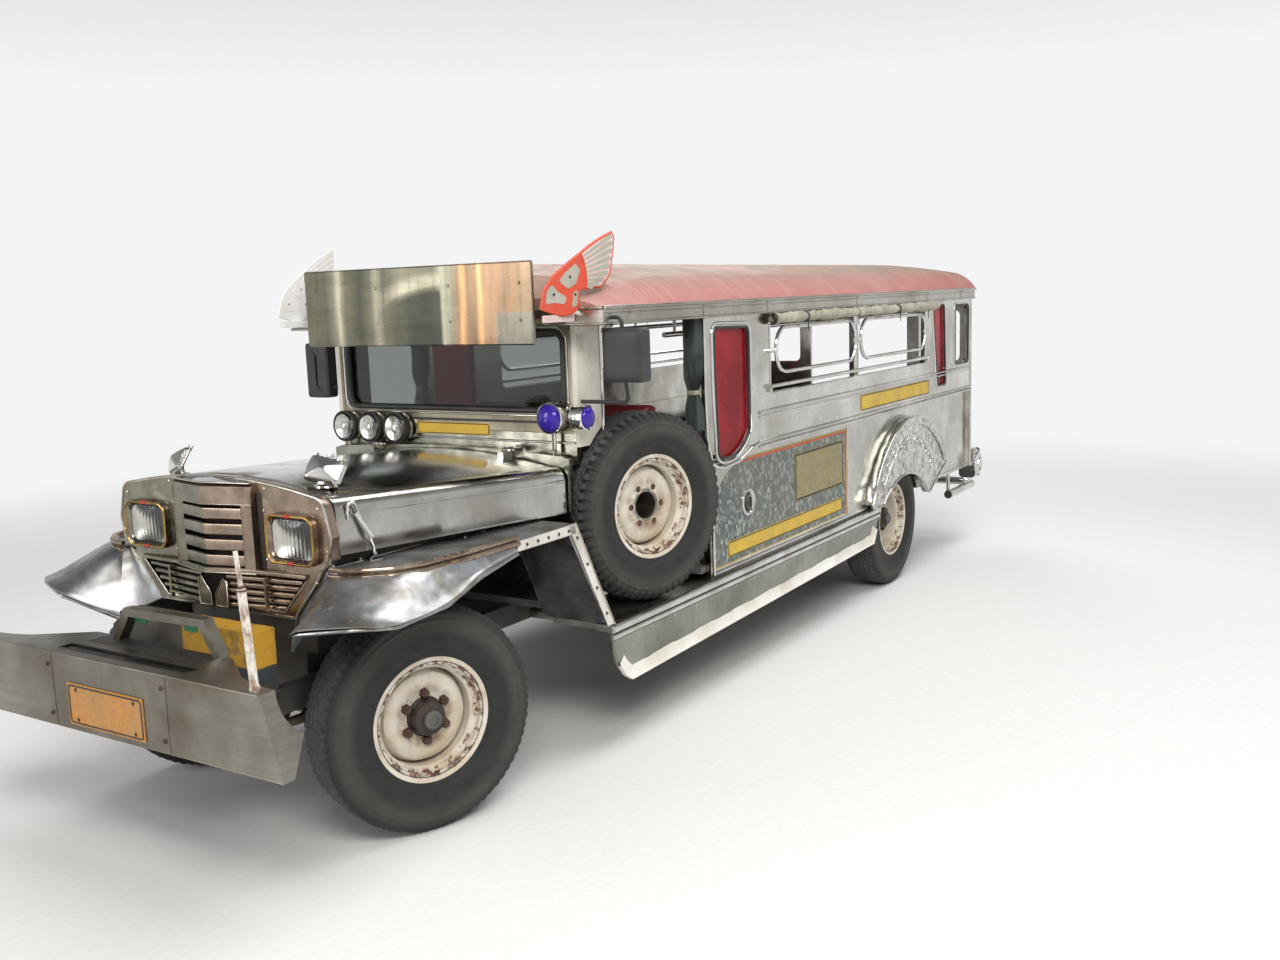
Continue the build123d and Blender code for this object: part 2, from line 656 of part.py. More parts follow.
def spare_place():
    """Place of the spare's middle plane, its outside turned towards the front."""
    face = Location((SPARE_X, SPARE_Y, SPARE_Z), (0, 0, -SPARE_TURN))
    return face * Pos(0, -RIM_HALF, 0)


def spare_recess():
    """Room that the cowl and the post leave for the spare wheel."""
    return spare_place() * rod((0, -TYRE_HALF - 12, 0), (0, TYRE_HALF + 60, 0), TYRE_R + 12)


def cowl():
    """Firewall, crowned cowl top, plinth under the screen, dashboard and kick panels."""
    front, back = COWL_FRONT, SCREEN_BACK
    half = COWL_HALF
    low = FLOOR_TOP + GAP
    wall = box((front - 24, front), (-half, half), (low, COWL_SHOULDER))
    crown = prism("x", (back, front), (-half, COWL_SHOULDER - 30), (half, COWL_SHOULDER - 30),
                  (half, COWL_SHOULDER - 12), ((half - 18, COWL_SHOULDER + 2), (half - 60, COWL_SHOULDER + 8)),
                  ((0, COWL_SHOULDER + 30), (-half + 60, COWL_SHOULDER + 8)),
                  ((-half + 18, COWL_SHOULDER + 2), (-half, COWL_SHOULDER - 12)))
    plinth = box((back, SCREEN_FRONT), (-half, half), (COWL_SHOULDER - 30, SCREEN_LOW - GAP))
    dash = box((back - 130, back), (-half + 30, half - 30), (1120, 1262))
    part = wall + crown + plinth + dash
    for inner in (KICK_HALF - 16, -half):
        part = part + box((back - 60, front), (inner, inner + 16), (low, COWL_SHOULDER))
    for side in (1, -1):
        y = side * HINGE_Y
        for edge in (y - 34, y + 16):
            lug = box((front - 40, HOOD_BACK), (edge, edge + 18), (HINGE_Z - 9, HINGE_Z + 9))
            nose = rod((HOOD_BACK, edge, HINGE_Z), (HOOD_BACK, edge + 18, HINGE_Z), 9)
            part = part + lug + nose
        part = part + rod((HOOD_BACK, y - 34, HINGE_Z), (HOOD_BACK, y + 34, HINGE_Z), PIN_R)
    return part - spare_recess()


def crown_z(y):
    """Height of the cowl's crown at a distance from the middle."""
    chord, rise = COWL_HALF - 60, 22.0
    radius = (chord * chord + rise * rise) / (2 * rise)
    return COWL_SHOULDER + 30 - radius + sqrt(radius * radius - y * y)


def screen_frame():
    """Frame round the glass and the posts that return rearward along the sides."""
    half = COWL_HALF
    span = (SCREEN_BACK, SCREEN_FRONT)
    frame = box(span, (-half, half), (SCREEN_LOW, BAND_LOW - GAP))
    frame = frame - rounded_box((span[0] - 1, span[1] + 1), (-GLASS_HALF, GLASS_HALF),
                                (GLASS_LOW, GLASS_TOP), 45, Axis.X)
    for side in (1, -1):
        low, high = sorted_pair(side * (half - 20), side * (half + 17))
        frame = frame + box((POST_BACK, SCREEN_FRONT + 4), (low, high),
                            (COWL_SHOULDER + 40, BAND_LOW - GAP))
    cowl_zone = box((SCREEN_BACK - 132, COWL_FRONT), (-half - GAP, half + GAP), (1100, SCREEN_LOW))
    return frame - spare_recess() - cowl_zone


def screen_glass():
    return rounded_box((SCREEN_BACK + 14, SCREEN_BACK + 20), (-GLASS_HALF + GAP, GLASS_HALF - GAP),
                       (GLASS_LOW + GAP, GLASS_TOP - GAP), 44, Axis.X)


# Body


def roof_section(x, half, eave, crown):
    """Cross-section with a flat crown and a tight curve down to the gutter."""
    rise = crown - eave
    knee, knee_z = half * 0.83, eave + rise * 0.62
    return outline("x", x, (-half, eave), ((-half * 0.94, eave + rise * 0.33), (-knee, knee_z)),
                   ((0, crown), (knee, knee_z)), ((half * 0.94, eave + rise * 0.33), (half, eave)))


# Roof stations: X, half width, crown height
ROOF_ROWS = [(ROOF_BACK, BAND_HALF, 1982.0), (-5350.0, BAND_HALF + 4, 1992.0),
             (-1500.0, BAND_HALF + 4, 1992.0), (-1050.0, BAND_HALF + 2, 1950.0),
             (ROOF_FRONT, BAND_HALF - 12, 1850.0)]


def roof():
    """Crowned shell with a domed front end."""
    eave = BAND_TOP + GAP
    t = ROOF_SHEET
    outer = None
    inner = None
    for one, two in zip(ROOF_ROWS, ROOF_ROWS[1:]):
        sections = [roof_section(x, half, eave, crown) for x, half, crown in (one, two)]
        piece = loft(sections, ruled=True)
        outer = piece if outer is None else outer + piece
    rows = [(ROOF_BACK + t, *ROOF_ROWS[0][1:])] + ROOF_ROWS[1:-1]
    rows = rows + [(ROOF_FRONT - t, ROOF_ROWS[-1][1], ROOF_ROWS[-1][2])]
    for one, two in zip(rows, rows[1:]):
        sections = [roof_section(x, half - t, eave - 1, crown - t) for x, half, crown in (one, two)]
        piece = loft(sections, ruled=True)
        inner = piece if inner is None else inner + piece
    return outer - inner


def roof_band():
    """Gutter band all round under the roof, with the ceiling cross bows."""
    t = WALL
    outer = box((BAND_BACK, BAND_FRONT), (-BAND_HALF, BAND_HALF), (BAND_LOW, BAND_TOP))
    half = BODY_HALF - t
    inner = box((BAND_BACK + t, BAND_FRONT - HEADER), (-half, half), (BAND_LOW - 1, BAND_TOP + 1))
    band = outer - inner
    for x in BOWS:
        band = band + box((x - BOW_HALF, x + BOW_HALF), (-half - 1, half + 1), (BAND_LOW, BAND_LOW + 26))
    return band


def side_wall():
    """Left body side from the driver's opening to the rear corner, windows cut."""
    outer, wall = BODY_HALF, WALL
    upper = box((SIDE_BACK, SIDE_FRONT), (outer - wall, outer), (BELT_LOW, BAND_LOW - GAP))
    low_out = outer - LOWER_INSET
    lower = box((SIDE_BACK, SIDE_FRONT - 40), (low_out - wall, low_out), (SIDE_LOW, BELT_LOW + 10))
    side = upper + lower
    span = (outer - wall - LOWER_INSET - 1, outer + 20)
    side = side - rounded_box((WINDOW_BACK, WINDOW_FRONT), span, (WINDOW_LOW, WINDOW_TOP), 40, Axis.Y)
    side = side + box((WINDOW_POST - 26, WINDOW_POST + 26), (outer - wall, outer),
                      (WINDOW_LOW - 5, WINDOW_TOP + 5))
    side = side - front_pane(span, 0)
    side = side - rear_pane(span, 0)
    side = side - rounded_box((SIDE_BACK + 60, -5150), span, (1290, 1690), 30, Axis.Y)
    arch = rod((REAR_X, low_out - wall - 1, AXLE_Z), (REAR_X, low_out + 1, AXLE_Z), TYRE_R + 38)
    side = side - arch
    for level in (BELT_LOW, BELT_HIGH):
        belt = rod((SIDE_BACK + 30, outer, level), (-2170, outer, level), 10)
        side = side + belt
    cap = rod((-2076, low_out - 2, 833), (-2076, low_out + 16, 833), 34)
    return side + cap


def front_pane(span, gap):
    """Red pane behind the driver's opening, narrowing to a swept tip."""
    return prism("y", span, (-1732 - gap, 1640 - gap), ((-1736 - gap, 1400), (-1752 - gap, 1150)),
                 ((-1762 - gap, 1100), (-1800 - gap, 1082 + gap)),
                 ((-1960, 1105 + gap), (-2068 + gap, 1190)),
                 (-2068 + gap, 1640 - gap), ((-2058 + gap, 1662 - gap), (-2030, 1672 - gap)),
                 (-1770, 1680 - gap), ((-1745 - gap, 1672 - gap), (-1732 - gap, 1640 - gap)))


def rear_pane(span, gap):
    return prism("y", span, (-4690 - gap, 1700 - gap), (-4780 - gap, 1172 + gap),
                 (-4950 + gap, 1172 + gap), (-4918 + gap, 1700 - gap))


def red_panes():
    mid = BODY_HALF - WALL / 2
    span = (mid - 3, mid + 3)
    left = [front_pane(span, 0.5), rear_pane(span, 0.5)]
    return left + [mirrored(pane) for pane in left]


def rear_frame():
    """Rear wall with an open entrance in the middle and a window each side."""
    x = (SIDE_BACK - GAP - WALL, SIDE_BACK - GAP)
    wall = box(x, (-BODY_HALF, BODY_HALF), (SIDE_LOW, BAND_LOW - GAP))
    wide = (x[0] - 1, x[1] + 1)
    wall = wall - rounded_box(wide, (-DOOR_HALF, DOOR_HALF), (FLOOR_TOP + 40, WINDOW_TOP), 40, Axis.X)
    wall = wall - box(wide, (-DOOR_HALF, DOOR_HALF), (SIDE_LOW - 1, FLOOR_TOP + 90))
    for side in (1, -1):
        low, high = sorted_pair(side * (DOOR_HALF + 90), side * (BODY_HALF - 79))
        wall = wall - rounded_box(wide, (low, high), (1290, 1650), 40, Axis.X)
    return wall


def floor():
    """Floor plate with boxes over the rear wheels and a step well at the back."""
    half = BODY_HALF - LOWER_INSET - WALL - GAP
    front = COWL_FRONT
    plate = box((SIDE_BACK, front), (-half, half), (FLOOR_LOW, FLOOR_TOP))
    for side in (1, -1):
        low, high = sorted_pair(side * STEP_IN, side * (half + 1))
        plate = plate - box((SIDE_FRONT, front + 1), (low, high), (FLOOR_LOW - 1, FLOOR_TOP + 1))
    well = TYRE_R + 38
    inner = REAR_TRACK_HALF - TYRE_HALF - 30
    top = AXLE_Z + well
    for side in (1, -1):
        low, high = sorted_pair(side * inner, side * (half + 1))
        cut = box((REAR_X - well, REAR_X + well), (low, high), (FLOOR_LOW - 1, top))
        low, high = sorted_pair(side * (inner - 12), side * half)
        cover = box((REAR_X - well - 12, REAR_X + well + 12), (low, high), (FLOOR_LOW, top + 12))
        plate = plate + cover - cut
    return plate


def seats():
    """Side benches with their cushions, and the two front seats."""
    half = BODY_HALF - LOWER_INSET - WALL - 2 * GAP
    top = BENCH_TOP - CUSHION
    parts = []
    base = (FLOOR_TOP + GAP, top - BENCH_SHEET - GAP)
    for side in (1, -1):
        whole = sorted_pair(side * BENCH_IN, side * half)
        behind = sorted_pair(side * (BENCH_IN + 20 + GAP), side * half)
        parts.append(box((-5440, -2120), whole, (top - BENCH_SHEET, top)))
        parts.append(box((-5440, -2120), sorted_pair(side * BENCH_IN, side * (BENCH_IN + 20)), base))
        for span in ((-5440, -5420), (-2140, -2120)):
            parts.append(box(span, behind, base))
        low, high = sorted_pair(side * (BENCH_IN - 10), side * half)
        parts.append(rounded_box((-5430, -2130), (low, high), (top + GAP, BENCH_TOP), 25, Axis.X))
    for side in (1, -1):
        y = side * DRIVER_Y
        base = box((-1750, -1330), (y - 170, y + 170), (FLOOR_TOP + GAP, 830))
        parts.append(base)
        parts.append(rounded_box((-1760, -1310), (y - 200, y + 200), (830 + GAP, 930), 30, Axis.X))
        back = prism("y", (y - 195, y + 195), (-1730, 930 + GAP), (-1640, 930 + GAP), (-1700, 1330),
                     (-1790, 1330))
        parts.append(back)
    return parts


def steering():
    """Column and wheel in front of the left seat."""
    centre = Vector(-1190, DRIVER_Y, 1150)
    way = Vector(-0.80, 0, 0.60)
    section = Plane.XZ * Pos(205, 0) * RegularPolygon(13, 8)
    ring = Plane(origin=centre, z_dir=way) * revolve(section, axis=Axis.Z)
    reach = (COWL_FRONT - 24 - GAP - 22 * 0.6 - centre.X) / 0.80
    column = rod(tuple(centre - way * reach), tuple(centre + way * 10), 22)
    boss = rod(tuple(centre - way * 30), tuple(centre + way * 14), 45)
    spoke = Plane(origin=centre - way * 5, z_dir=way) * Box(26, 400, 10)
    return ring + column + boss + spoke


def window_rails():
    """Rounded window guards carried by side stubs, and the rail along each sill."""
    y, r = BODY_HALF + 14, RAIL_R
    low, high = WINDOW_LOW + 95, BAND_LOW - 2 - 2 * ROLL_R - r - CLEAR
    middle = (low + high) / 2
    guards = None
    for front, back in ((WINDOW_FRONT - 40, WINDOW_POST + 40), (WINDOW_POST - 40, WINDOW_BACK + 40)):
        ring = loop((back, front), (low, high), y, r, 100)
        guards = ring if guards is None else guards + ring
    stations = (WINDOW_FRONT + 18, WINDOW_POST, WINDOW_BACK - 18)
    for x, start, end in ((stations[0], WINDOW_FRONT - 40, WINDOW_FRONT + 18),
                          (stations[1], WINDOW_POST - 40, WINDOW_POST + 40),
                          (stations[2], WINDOW_BACK - 18, WINDOW_BACK + 40)):
        guards = guards + rod((start, y, middle), (end, y, middle), r - 2)
        guards = guards + rod((x, BODY_HALF + GAP, middle), (x, y + 6, middle), r)
    level = WINDOW_LOW + 34
    rail = rod((stations[0] + 12, y, level), (stations[2] - 12, y, level), r)
    for x in stations:
        rail = rail + box((x - 12, x + 12), (BODY_HALF + GAP, y), (level - 30, level + 8))
    return [guards, rail, mirrored(guards), mirrored(rail)]


def hand_rails():
    """Ceiling rails on hangers from the cross bows."""
    parts = []
    for side in (1, -1):
        y = side * 430
        rail = rod((BOWS[-1] - 100, y, 1640), (BOWS[0] + 100, y, 1640), 13)
        for x in BOWS:
            rail = rail + rod((x, y, 1640), (x, y, BAND_LOW - GAP), 8)
        parts.append(rail)
    return parts


def running_boards():
    """Left sill: step, mirrored skirt, outriggers from the rail and the spare's post."""
    top, low = SILL_TOP, SILL_TOP - 30
    step = box((SILL_BACK, COWL_FRONT), (STEP_IN, BODY_HALF), (low, top))
    lip = box((COWL_FRONT - 1, SILL_FRONT), (FENDER_HALF - 20, BODY_HALF), (low, top))
    skirt = prism("y", (BODY_HALF - 14, BODY_HALF), (SILL_FRONT - 2, low + 2),
                  ((-868, 360), (-952, SKIRT_LOW)), (-3618, SKIRT_LOW_BACK), (SILL_BACK, low + 2))
    board = step + lip + skirt
    well = rod((REAR_X, STEP_IN - 1, AXLE_Z), (REAR_X, BODY_HALF - 6, AXLE_Z), TYRE_R + 38)
    board = board - well
    for x in (-1000, -1900, -2700, -3330, -3560):
        board = board + box((x - 25, x + 25), (RAIL_OUT + GAP, BODY_HALF - 20), (RAIL_LOW + 4, low + 1))
    return board


def spare_post():
    """Post on the sill and the hollow arm that holds the spare by its bore."""
    middle = spare_place()
    stand = -TYRE_HALF - 40
    foot = (middle * Pos(0, stand, 0)).position
    height = SPARE_Z + HUB_BORE_R + 20 - SILL_TOP
    turn = (0, 0, -SPARE_TURN)
    post = Location((foot.X, foot.Y, SILL_TOP + height / 2), turn) * Box(150, 36, height)
    seat = FRONT_DISC_OUT - DISC_SHEET - GAP
    arm = rod((0, stand, 0), (0, seat, 0), HUB_BORE_R - 6)
    plate = rod((0, seat - 8, 0), (0, seat, 0), HUB_BORE_R + 2.5)
    spigot = rod((0, seat, 0), (0, seat + DISC_SHEET - 2, 0), HUB_BORE_R - 1)
    hollow = rod((0, stand + 30, 0), (0, seat + 20, 0), HUB_BORE_R - 12)
    return post + middle * (arm + plate + spigot - hollow)


def wheel_arch_cover():
    """Bulged cover over the left rear wheel with a raised rim."""
    inner, outer = BODY_HALF - LOWER_INSET + GAP, BODY_HALF + 24
    start, tip = (-3557.0, 573.0), (-4568.0, 492.0)
    steps = [((-4176.0, 1020.0), (-4909.0, 658.0)), tip,
             ((-4160.0, 672.0), (-3745.0, SILL_TOP + 2)), (-3600.0, SILL_TOP + 2)]
    cover = prism("y", (inner, outer), start, *steps)
    rim_in = [((-4176.0, 972.0), (-4860.0, 668.0)), (-4909.0, 658.0),
              ((-4176.0, 1020.0), start)]
    rim = prism("y", (outer - 1, outer + 12), (-3605.0, 590.0), *rim_in)
    hollow = rod((REAR_X, inner - 1, AXLE_Z), (REAR_X, BODY_HALF - 4, AXLE_Z), TYRE_R + 38)
    return cover + rim - hollow


def bumper():
    """Deep front bumper: sloped-end face, slotted deck, flared ends, guard hoop and poles."""
    t = BUMPER_SHEET
    slant = BUMPER_SLANT
    high, low = BUMPER_TOP, BUMPER_LOW
    front, half = BUMPER_FRONT, BUMPER_HALF
    face = prism("x", (front - t, front), (-BUMPER_HALF, high), (BUMPER_HALF, high),
                 (BUMPER_HALF + slant, low), (-BUMPER_HALF - slant, low))
    deck = prism("z", (high - t, high), (front - 1, -BUMPER_HALF), (front - 1, BUMPER_HALF),
                 (front - 66, half), ((front - 76, half - 105), (736, half - 184)),
                 (612, half - 378), (604, 378 - half), (736, 184 - half),
                 ((front - 76, 105 - half), (front - 66, -half)))
    deck = deck - box((738, 786), (-310, 350), (high - t - 1, high + 1))
    deck = deck - box((650, 672), (-270, 300), (high - t - 1, high + 1))
    beam = box((front - t - BEAM_DEEP, front - t + 1), (-BUMPER_HALF + 30, BUMPER_HALF - 30),
               (BEAM_LOW, BEAM_HIGH))
    part = face + deck + beam
    for side in (1, -1):
        end = prism("y", sorted_pair(0, -side * t), (front, 0), (front - 66, 0),
                    ((front - 66, -75), (front - 121, -150)), (front - 44, -266), (front, -266))
        part = part + Location((0, side * BUMPER_HALF, high), (side * BUMPER_LEAN, 0, 0)) * end
        base = (front - 30, side * (half - 45), high - 2)
        knee, tip = (front - 26, side * (half - 63), 1040), (front - 24, side * (half - 73), 1150)
        part = part + rod(base, knee, 13) + rod(knee, tip, 7)
    hoop = prism("x", (600, 640), (-222, high - 1), (-151, 850), (261, 856), (332, high - 1),
                 (300, high - 1), (236, 828), (-126, 822), (-190, high - 1))
    return part + hoop


def plates():
    """Blank number plates and route boards on the face, cowl and sides."""
    front = box((BUMPER_FRONT + GAP, BUMPER_FRONT + PLATE_SHEET), (-195, 195), (501, 641))
    cowl_board = box((SCREEN_FRONT + GAP, SCREEN_FRONT + PLATE_SHEET), (-200, 207), (1268, 1320))
    parts = [front, cowl_board]
    lower, upper = BODY_HALF - LOWER_INSET, BODY_HALF
    rows = [(-3240, -2612, 745, 995, lower), (-3222, -1865, 599, 674, lower),
            (-4612, -3456, 1135, 1226, upper)]
    for x0, x1, z0, z1, y in rows:
        for side in (1, -1):
            low, high = sorted_pair(side * (y + GAP), side * (y + PLATE_SHEET))
            parts.append(box((x0, x1), (low, high), (z0, z1)))
    return parts


def sign_board():
    """Plain board over the screen on four arms from the roof band."""
    board = box((-722, -708), (-618, 618), (1665, 1978))
    for y in (-560, -200, 200, 560):
        board = board + box((BAND_FRONT + GAP, -721), (y - 15, y + 15), (BAND_LOW + 8, BAND_LOW + 28))
    return board


def wing():
    """Left wing ornament: one swept plate with stepped feather tips and raised quills."""
    span = (712, 720)
    plate = prism("y", span, (-640, 1800), ((-740, 1920), (-920, 2005)), ((-1035, 2052), (-1148, 2096)),
                  (-1096, 2030), (-1128, 2012), (-1062, 1974), (-1088, 1952), (-1010, 1938),
                  (-1024, 1918), (-930, 1906), (-829, 1872), (-829, 1800), ((-790, 1777), (-740, 1772)))
    for start, end in (((-700, 1830), (-1090, 2060)), ((-720, 1815), (-1060, 1992)),
                       ((-740, 1800), (-1010, 1948))):
        plate = plate + rod((start[0], span[1], start[1]), (end[0], span[1], end[1]), 7)
    foot = box((BAND_FRONT + GAP, -780), (span[0] - 4, span[1] + 4), (1745, 1790))
    return plate + foot


def lamps():
    """Three spot lamps and a pair of round side lamps on the cowl, and the tail lamps."""
    parts = []
    x = (-906, -866)
    middle = sum(x) / 2
    for y, z, r in ((-595, 1292, 66), (-440, 1292, 66), (-285, 1292, 66), (565, 1356, 60)):
        lamp = rod((x[0], y, z), (x[1], y, z), r)
        stub = rod((middle, y, crown_z(abs(y) - 9) + 0.7), (middle, y, z - r + 8), 9)
        parts.append(lamp + stub)
    post_face = COWL_HALF + 17 + GAP
    parts.append(rod((-888, post_face, 1362), (-888, post_face + 52, 1362), 48))
    back = SIDE_BACK - GAP - WALL - GAP
    for side in (1, -1):
        span = sorted_pair(side * (BODY_HALF - 89), side * (BODY_HALF + 31))
        parts.append(rounded_box((back - 105, back), span, (446, 656), 30, Axis.X))
    return parts


def side_mirrors():
    """Left and right mirror heads on arms from the screen posts."""
    y_post = COWL_HALF + 17
    arm = BAND_HALF + 38
    left = rounded_box((-935, -880), (BAND_HALF - 40, BAND_HALF + 146), (1503, 1713), 18, Axis.X)
    left = left + pipe([(-940, y_post + GAP, 1420), (-940, arm, 1420), (-915, arm, 1520)], 8, 30)
    left = left + pipe([(-905, BAND_HALF + GAP, 1755), (-905, arm, 1755), (-905, arm, 1700)], 8, 25)
    right = rounded_box((-1092, -1040), (-BAND_HALF - 146, -BAND_HALF), (1400, 1660), 18, Axis.X)
    right = right + rod((-1066, -y_post - GAP, 1450), (-1066, -BAND_HALF - 18, 1450), 8)
    right = right + pipe([(-1066, -BAND_HALF - GAP, 1755), (-1066, -arm, 1755), (-1066, -arm, 1640)],
                         8, 25)
    return [left, right]


def curtains():
    """Rolled curtains under the band over the windows, and the tied ones at the side fronts."""
    parts = []
    for side in (1, -1):
        y, z = side * (BODY_HALF + ROLL_R + GAP), BAND_LOW - GAP - ROLL_R
        parts.append(rod((-4690, y, z), (-2285, y, z), ROLL_R))
        span = sorted_pair(side * (BODY_HALF - 84), side * (BODY_HALF - 6))
        front = SIDE_FRONT + GAP
        parts.append(rounded_box((front, front + 76), span, (1225, BAND_LOW - GAP), 25, Axis.Z))
    return parts


def rear_bar():
    """Chrome tube bumper that wraps the rear corners, with its brackets."""
    x, y, z = TAIL_END + 28, BODY_HALF - 14, 396.0
    tube = pipe([(-5061, y, z), (x, y, z), (x, -y, z), (-5061, -y, z)], 28, 110)
    for side in (1, -1):
        low, high = sorted_pair(side * (RAIL_OUT - RAIL_WIDE), side * RAIL_OUT)
        tube = tube + prism("y", (low, high), (RAIL_BACK - GAP, FLOOR_LOW - 4),
                            (RAIL_BACK - GAP, RAIL_LOW + 4), (x + 10, z - 16), (x - 10, z + 12))
        tube = tube + rod((-5120, side * (y - 19), z), (-5120, side * (y - 19), SIDE_LOW - GAP), 12)
    return tube


def save_all():
    os.makedirs("parts", exist_ok=True)
    for tag, side in (("fl", 1), ("fr", -1)):
        drum_in = 57 - KINGPIN_OFFSET
        wheel_nodes(tag, front_place(side), FRONT_DISC_OUT, drum_in, FRONT_DISC_OUT + 20.3)
    for tag, side in (("rl", 1), ("rr", -1)):
        wheel_nodes(tag, rear_place(side), REAR_DISC_OUT, REAR_DISC_OUT - 42, REAR_DISC_OUT + 17)
    save("knuckle_left", knuckle(1))
    save("knuckle_right", knuckle(-1))
    save("tie_rod", tie_rod())
    save("front_axle", front_axle())
    save("rear_axle", rear_axle())
    save("leaf_springs", *leaf_springs())
    save("chassis", *chassis())
    save("engine", *engine())
    save("driveline", driveline())
    save("exhaust", exhaust())
    save("face_panel", face_panel())
    save("head_lamps", *head_lamps())
    save("grille", *grille())
    save("hood", hood())
    left = front_fender()
    save("front_fenders", left, mirrored(left))
    save("cowl", cowl())
    save("screen_frame", screen_frame())
    save("screen_glass", screen_glass())
    save("roof", roof())
    save("roof_band", roof_band())
    left = side_wall()
    save("side_left", left)
    save("side_right", mirrored(left))
    save("red_panes", *red_panes())
    save("rear_frame", rear_frame())
    save("floor", floor())
    save("seats", *seats())
    save("steering", steering())
    save("window_rails", *window_rails())
    save("hand_rails", *hand_rails())
    left = running_boards()
    save("running_boards", left + spare_post(), mirrored(left))
    save("spare_tyre", spare_place() * tyre())
    save("spare_wheel", spare_place() * rim(FRONT_DISC_OUT, True))
    left = wheel_arch_cover()
    save("arch_covers", left, mirrored(left))
    save("bumper", bumper())
    save("plates", *plates())
    save("sign_board", sign_board())
    left = wing()
    save("wings", left, mirrored(left))
    save("lamps", *lamps())
    save("side_mirrors", *side_mirrors())
    save("curtains", *curtains())
    save("rear_bar", rear_bar())


save_all()
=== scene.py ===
"""Looks of a long passenger jeepney: stainless body, faded red roof, spare wheel on its left side.

Shapes are written in millimetres, X forward from the front axle, Y to the left, Z up from the
ground. Shape.piece() turns them into metres in the row frame.
"""

import json
import math

import bmesh
import bpy
import numpy as np
from mathutils import Matrix, Vector


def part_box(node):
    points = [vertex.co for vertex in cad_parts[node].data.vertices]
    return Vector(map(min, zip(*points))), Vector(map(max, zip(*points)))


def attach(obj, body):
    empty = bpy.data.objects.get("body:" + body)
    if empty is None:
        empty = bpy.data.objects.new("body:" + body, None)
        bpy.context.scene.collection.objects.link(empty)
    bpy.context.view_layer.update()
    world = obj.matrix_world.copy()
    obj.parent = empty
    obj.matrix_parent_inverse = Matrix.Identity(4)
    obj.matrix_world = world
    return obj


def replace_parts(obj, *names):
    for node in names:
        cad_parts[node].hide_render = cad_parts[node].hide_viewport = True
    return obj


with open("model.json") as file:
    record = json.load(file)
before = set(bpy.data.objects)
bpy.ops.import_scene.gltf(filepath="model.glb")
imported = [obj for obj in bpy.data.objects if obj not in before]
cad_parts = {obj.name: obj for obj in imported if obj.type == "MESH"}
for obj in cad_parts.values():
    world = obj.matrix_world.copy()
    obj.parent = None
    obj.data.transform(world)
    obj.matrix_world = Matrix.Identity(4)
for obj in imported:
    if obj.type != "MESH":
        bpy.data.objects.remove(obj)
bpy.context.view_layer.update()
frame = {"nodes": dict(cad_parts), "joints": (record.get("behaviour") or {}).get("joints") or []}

MM = 0.001
JOINTS = {joint["name"]: joint for joint in frame["joints"]}
AXLE = JOINTS["steer_left"]["pos_m"][0]
NODES = frame["nodes"]

# Sizes in millimetres, from the front axle and the ground
FACE_X, HOOD_FRONT, HOOD_BACK = 340.0, 290.0, -846.0
LAMP_Y, LAMP_Z, LAMP_WIDE, LAMP_HIGH = 378.0, 1072.0, 232.0, 173.0
FENDER_TOP, FENDER_IN, FENDER_BACK, FENDER_FOOT = 972.0, 472, -686, -846
SCREEN_FRONT, SCREEN_BACK = -916.0, -956.0
GLASS_HALF, GLASS_LOW, GLASS_TOP = 602.0, 1382.0, 1700.0
BODY_HALF, LOWER_HALF, BAND_HALF = 849.0, 825.0, 862.0
SIDE_BACK = -5500.0
BELT_LOW, BELT_HIGH = 1110.0, 1255.0
BAND_LOW, BAND_TOP = 1729.0, 1795.0
WINDOW_FRONT, WINDOW_BACK, WINDOW_POST = -2300.0, -4544.0, -3390.0
SILL_TOP, SILL_FRONT, SILL_BACK = 534.0, -831.0, -3731.0
FLOOR_TOP = 590.5
TYRE_R, RIM_HALF = 403.5, 84.0
BEAD_R, DROP_R, HUB_BORE_R, STUD_R = 203.0, 176.0, 70.0, 85.0
FRONT_DISC, REAR_DISC = 30.0, -58.0
FRONT_DRUM, REAR_DRUM = -38.0, -100.0
FRONT_HUB, REAR_HUB = 42.0, 96.0
STUDS = 6
BUMPER_TOP, BUMPER_LOW = 733.0, 479.0
SPARE_TURN = math.radians(15.6)
TAGS = {1: "left", -1: "right"}
MERGE_M = 0.00002
EDGE_ANGLE = 32


def at(x, y, z):
    """A place given in millimetres from the front axle, in metres in the row frame."""
    return Vector((AXLE + x * MM, y * MM, z * MM))


# Materials


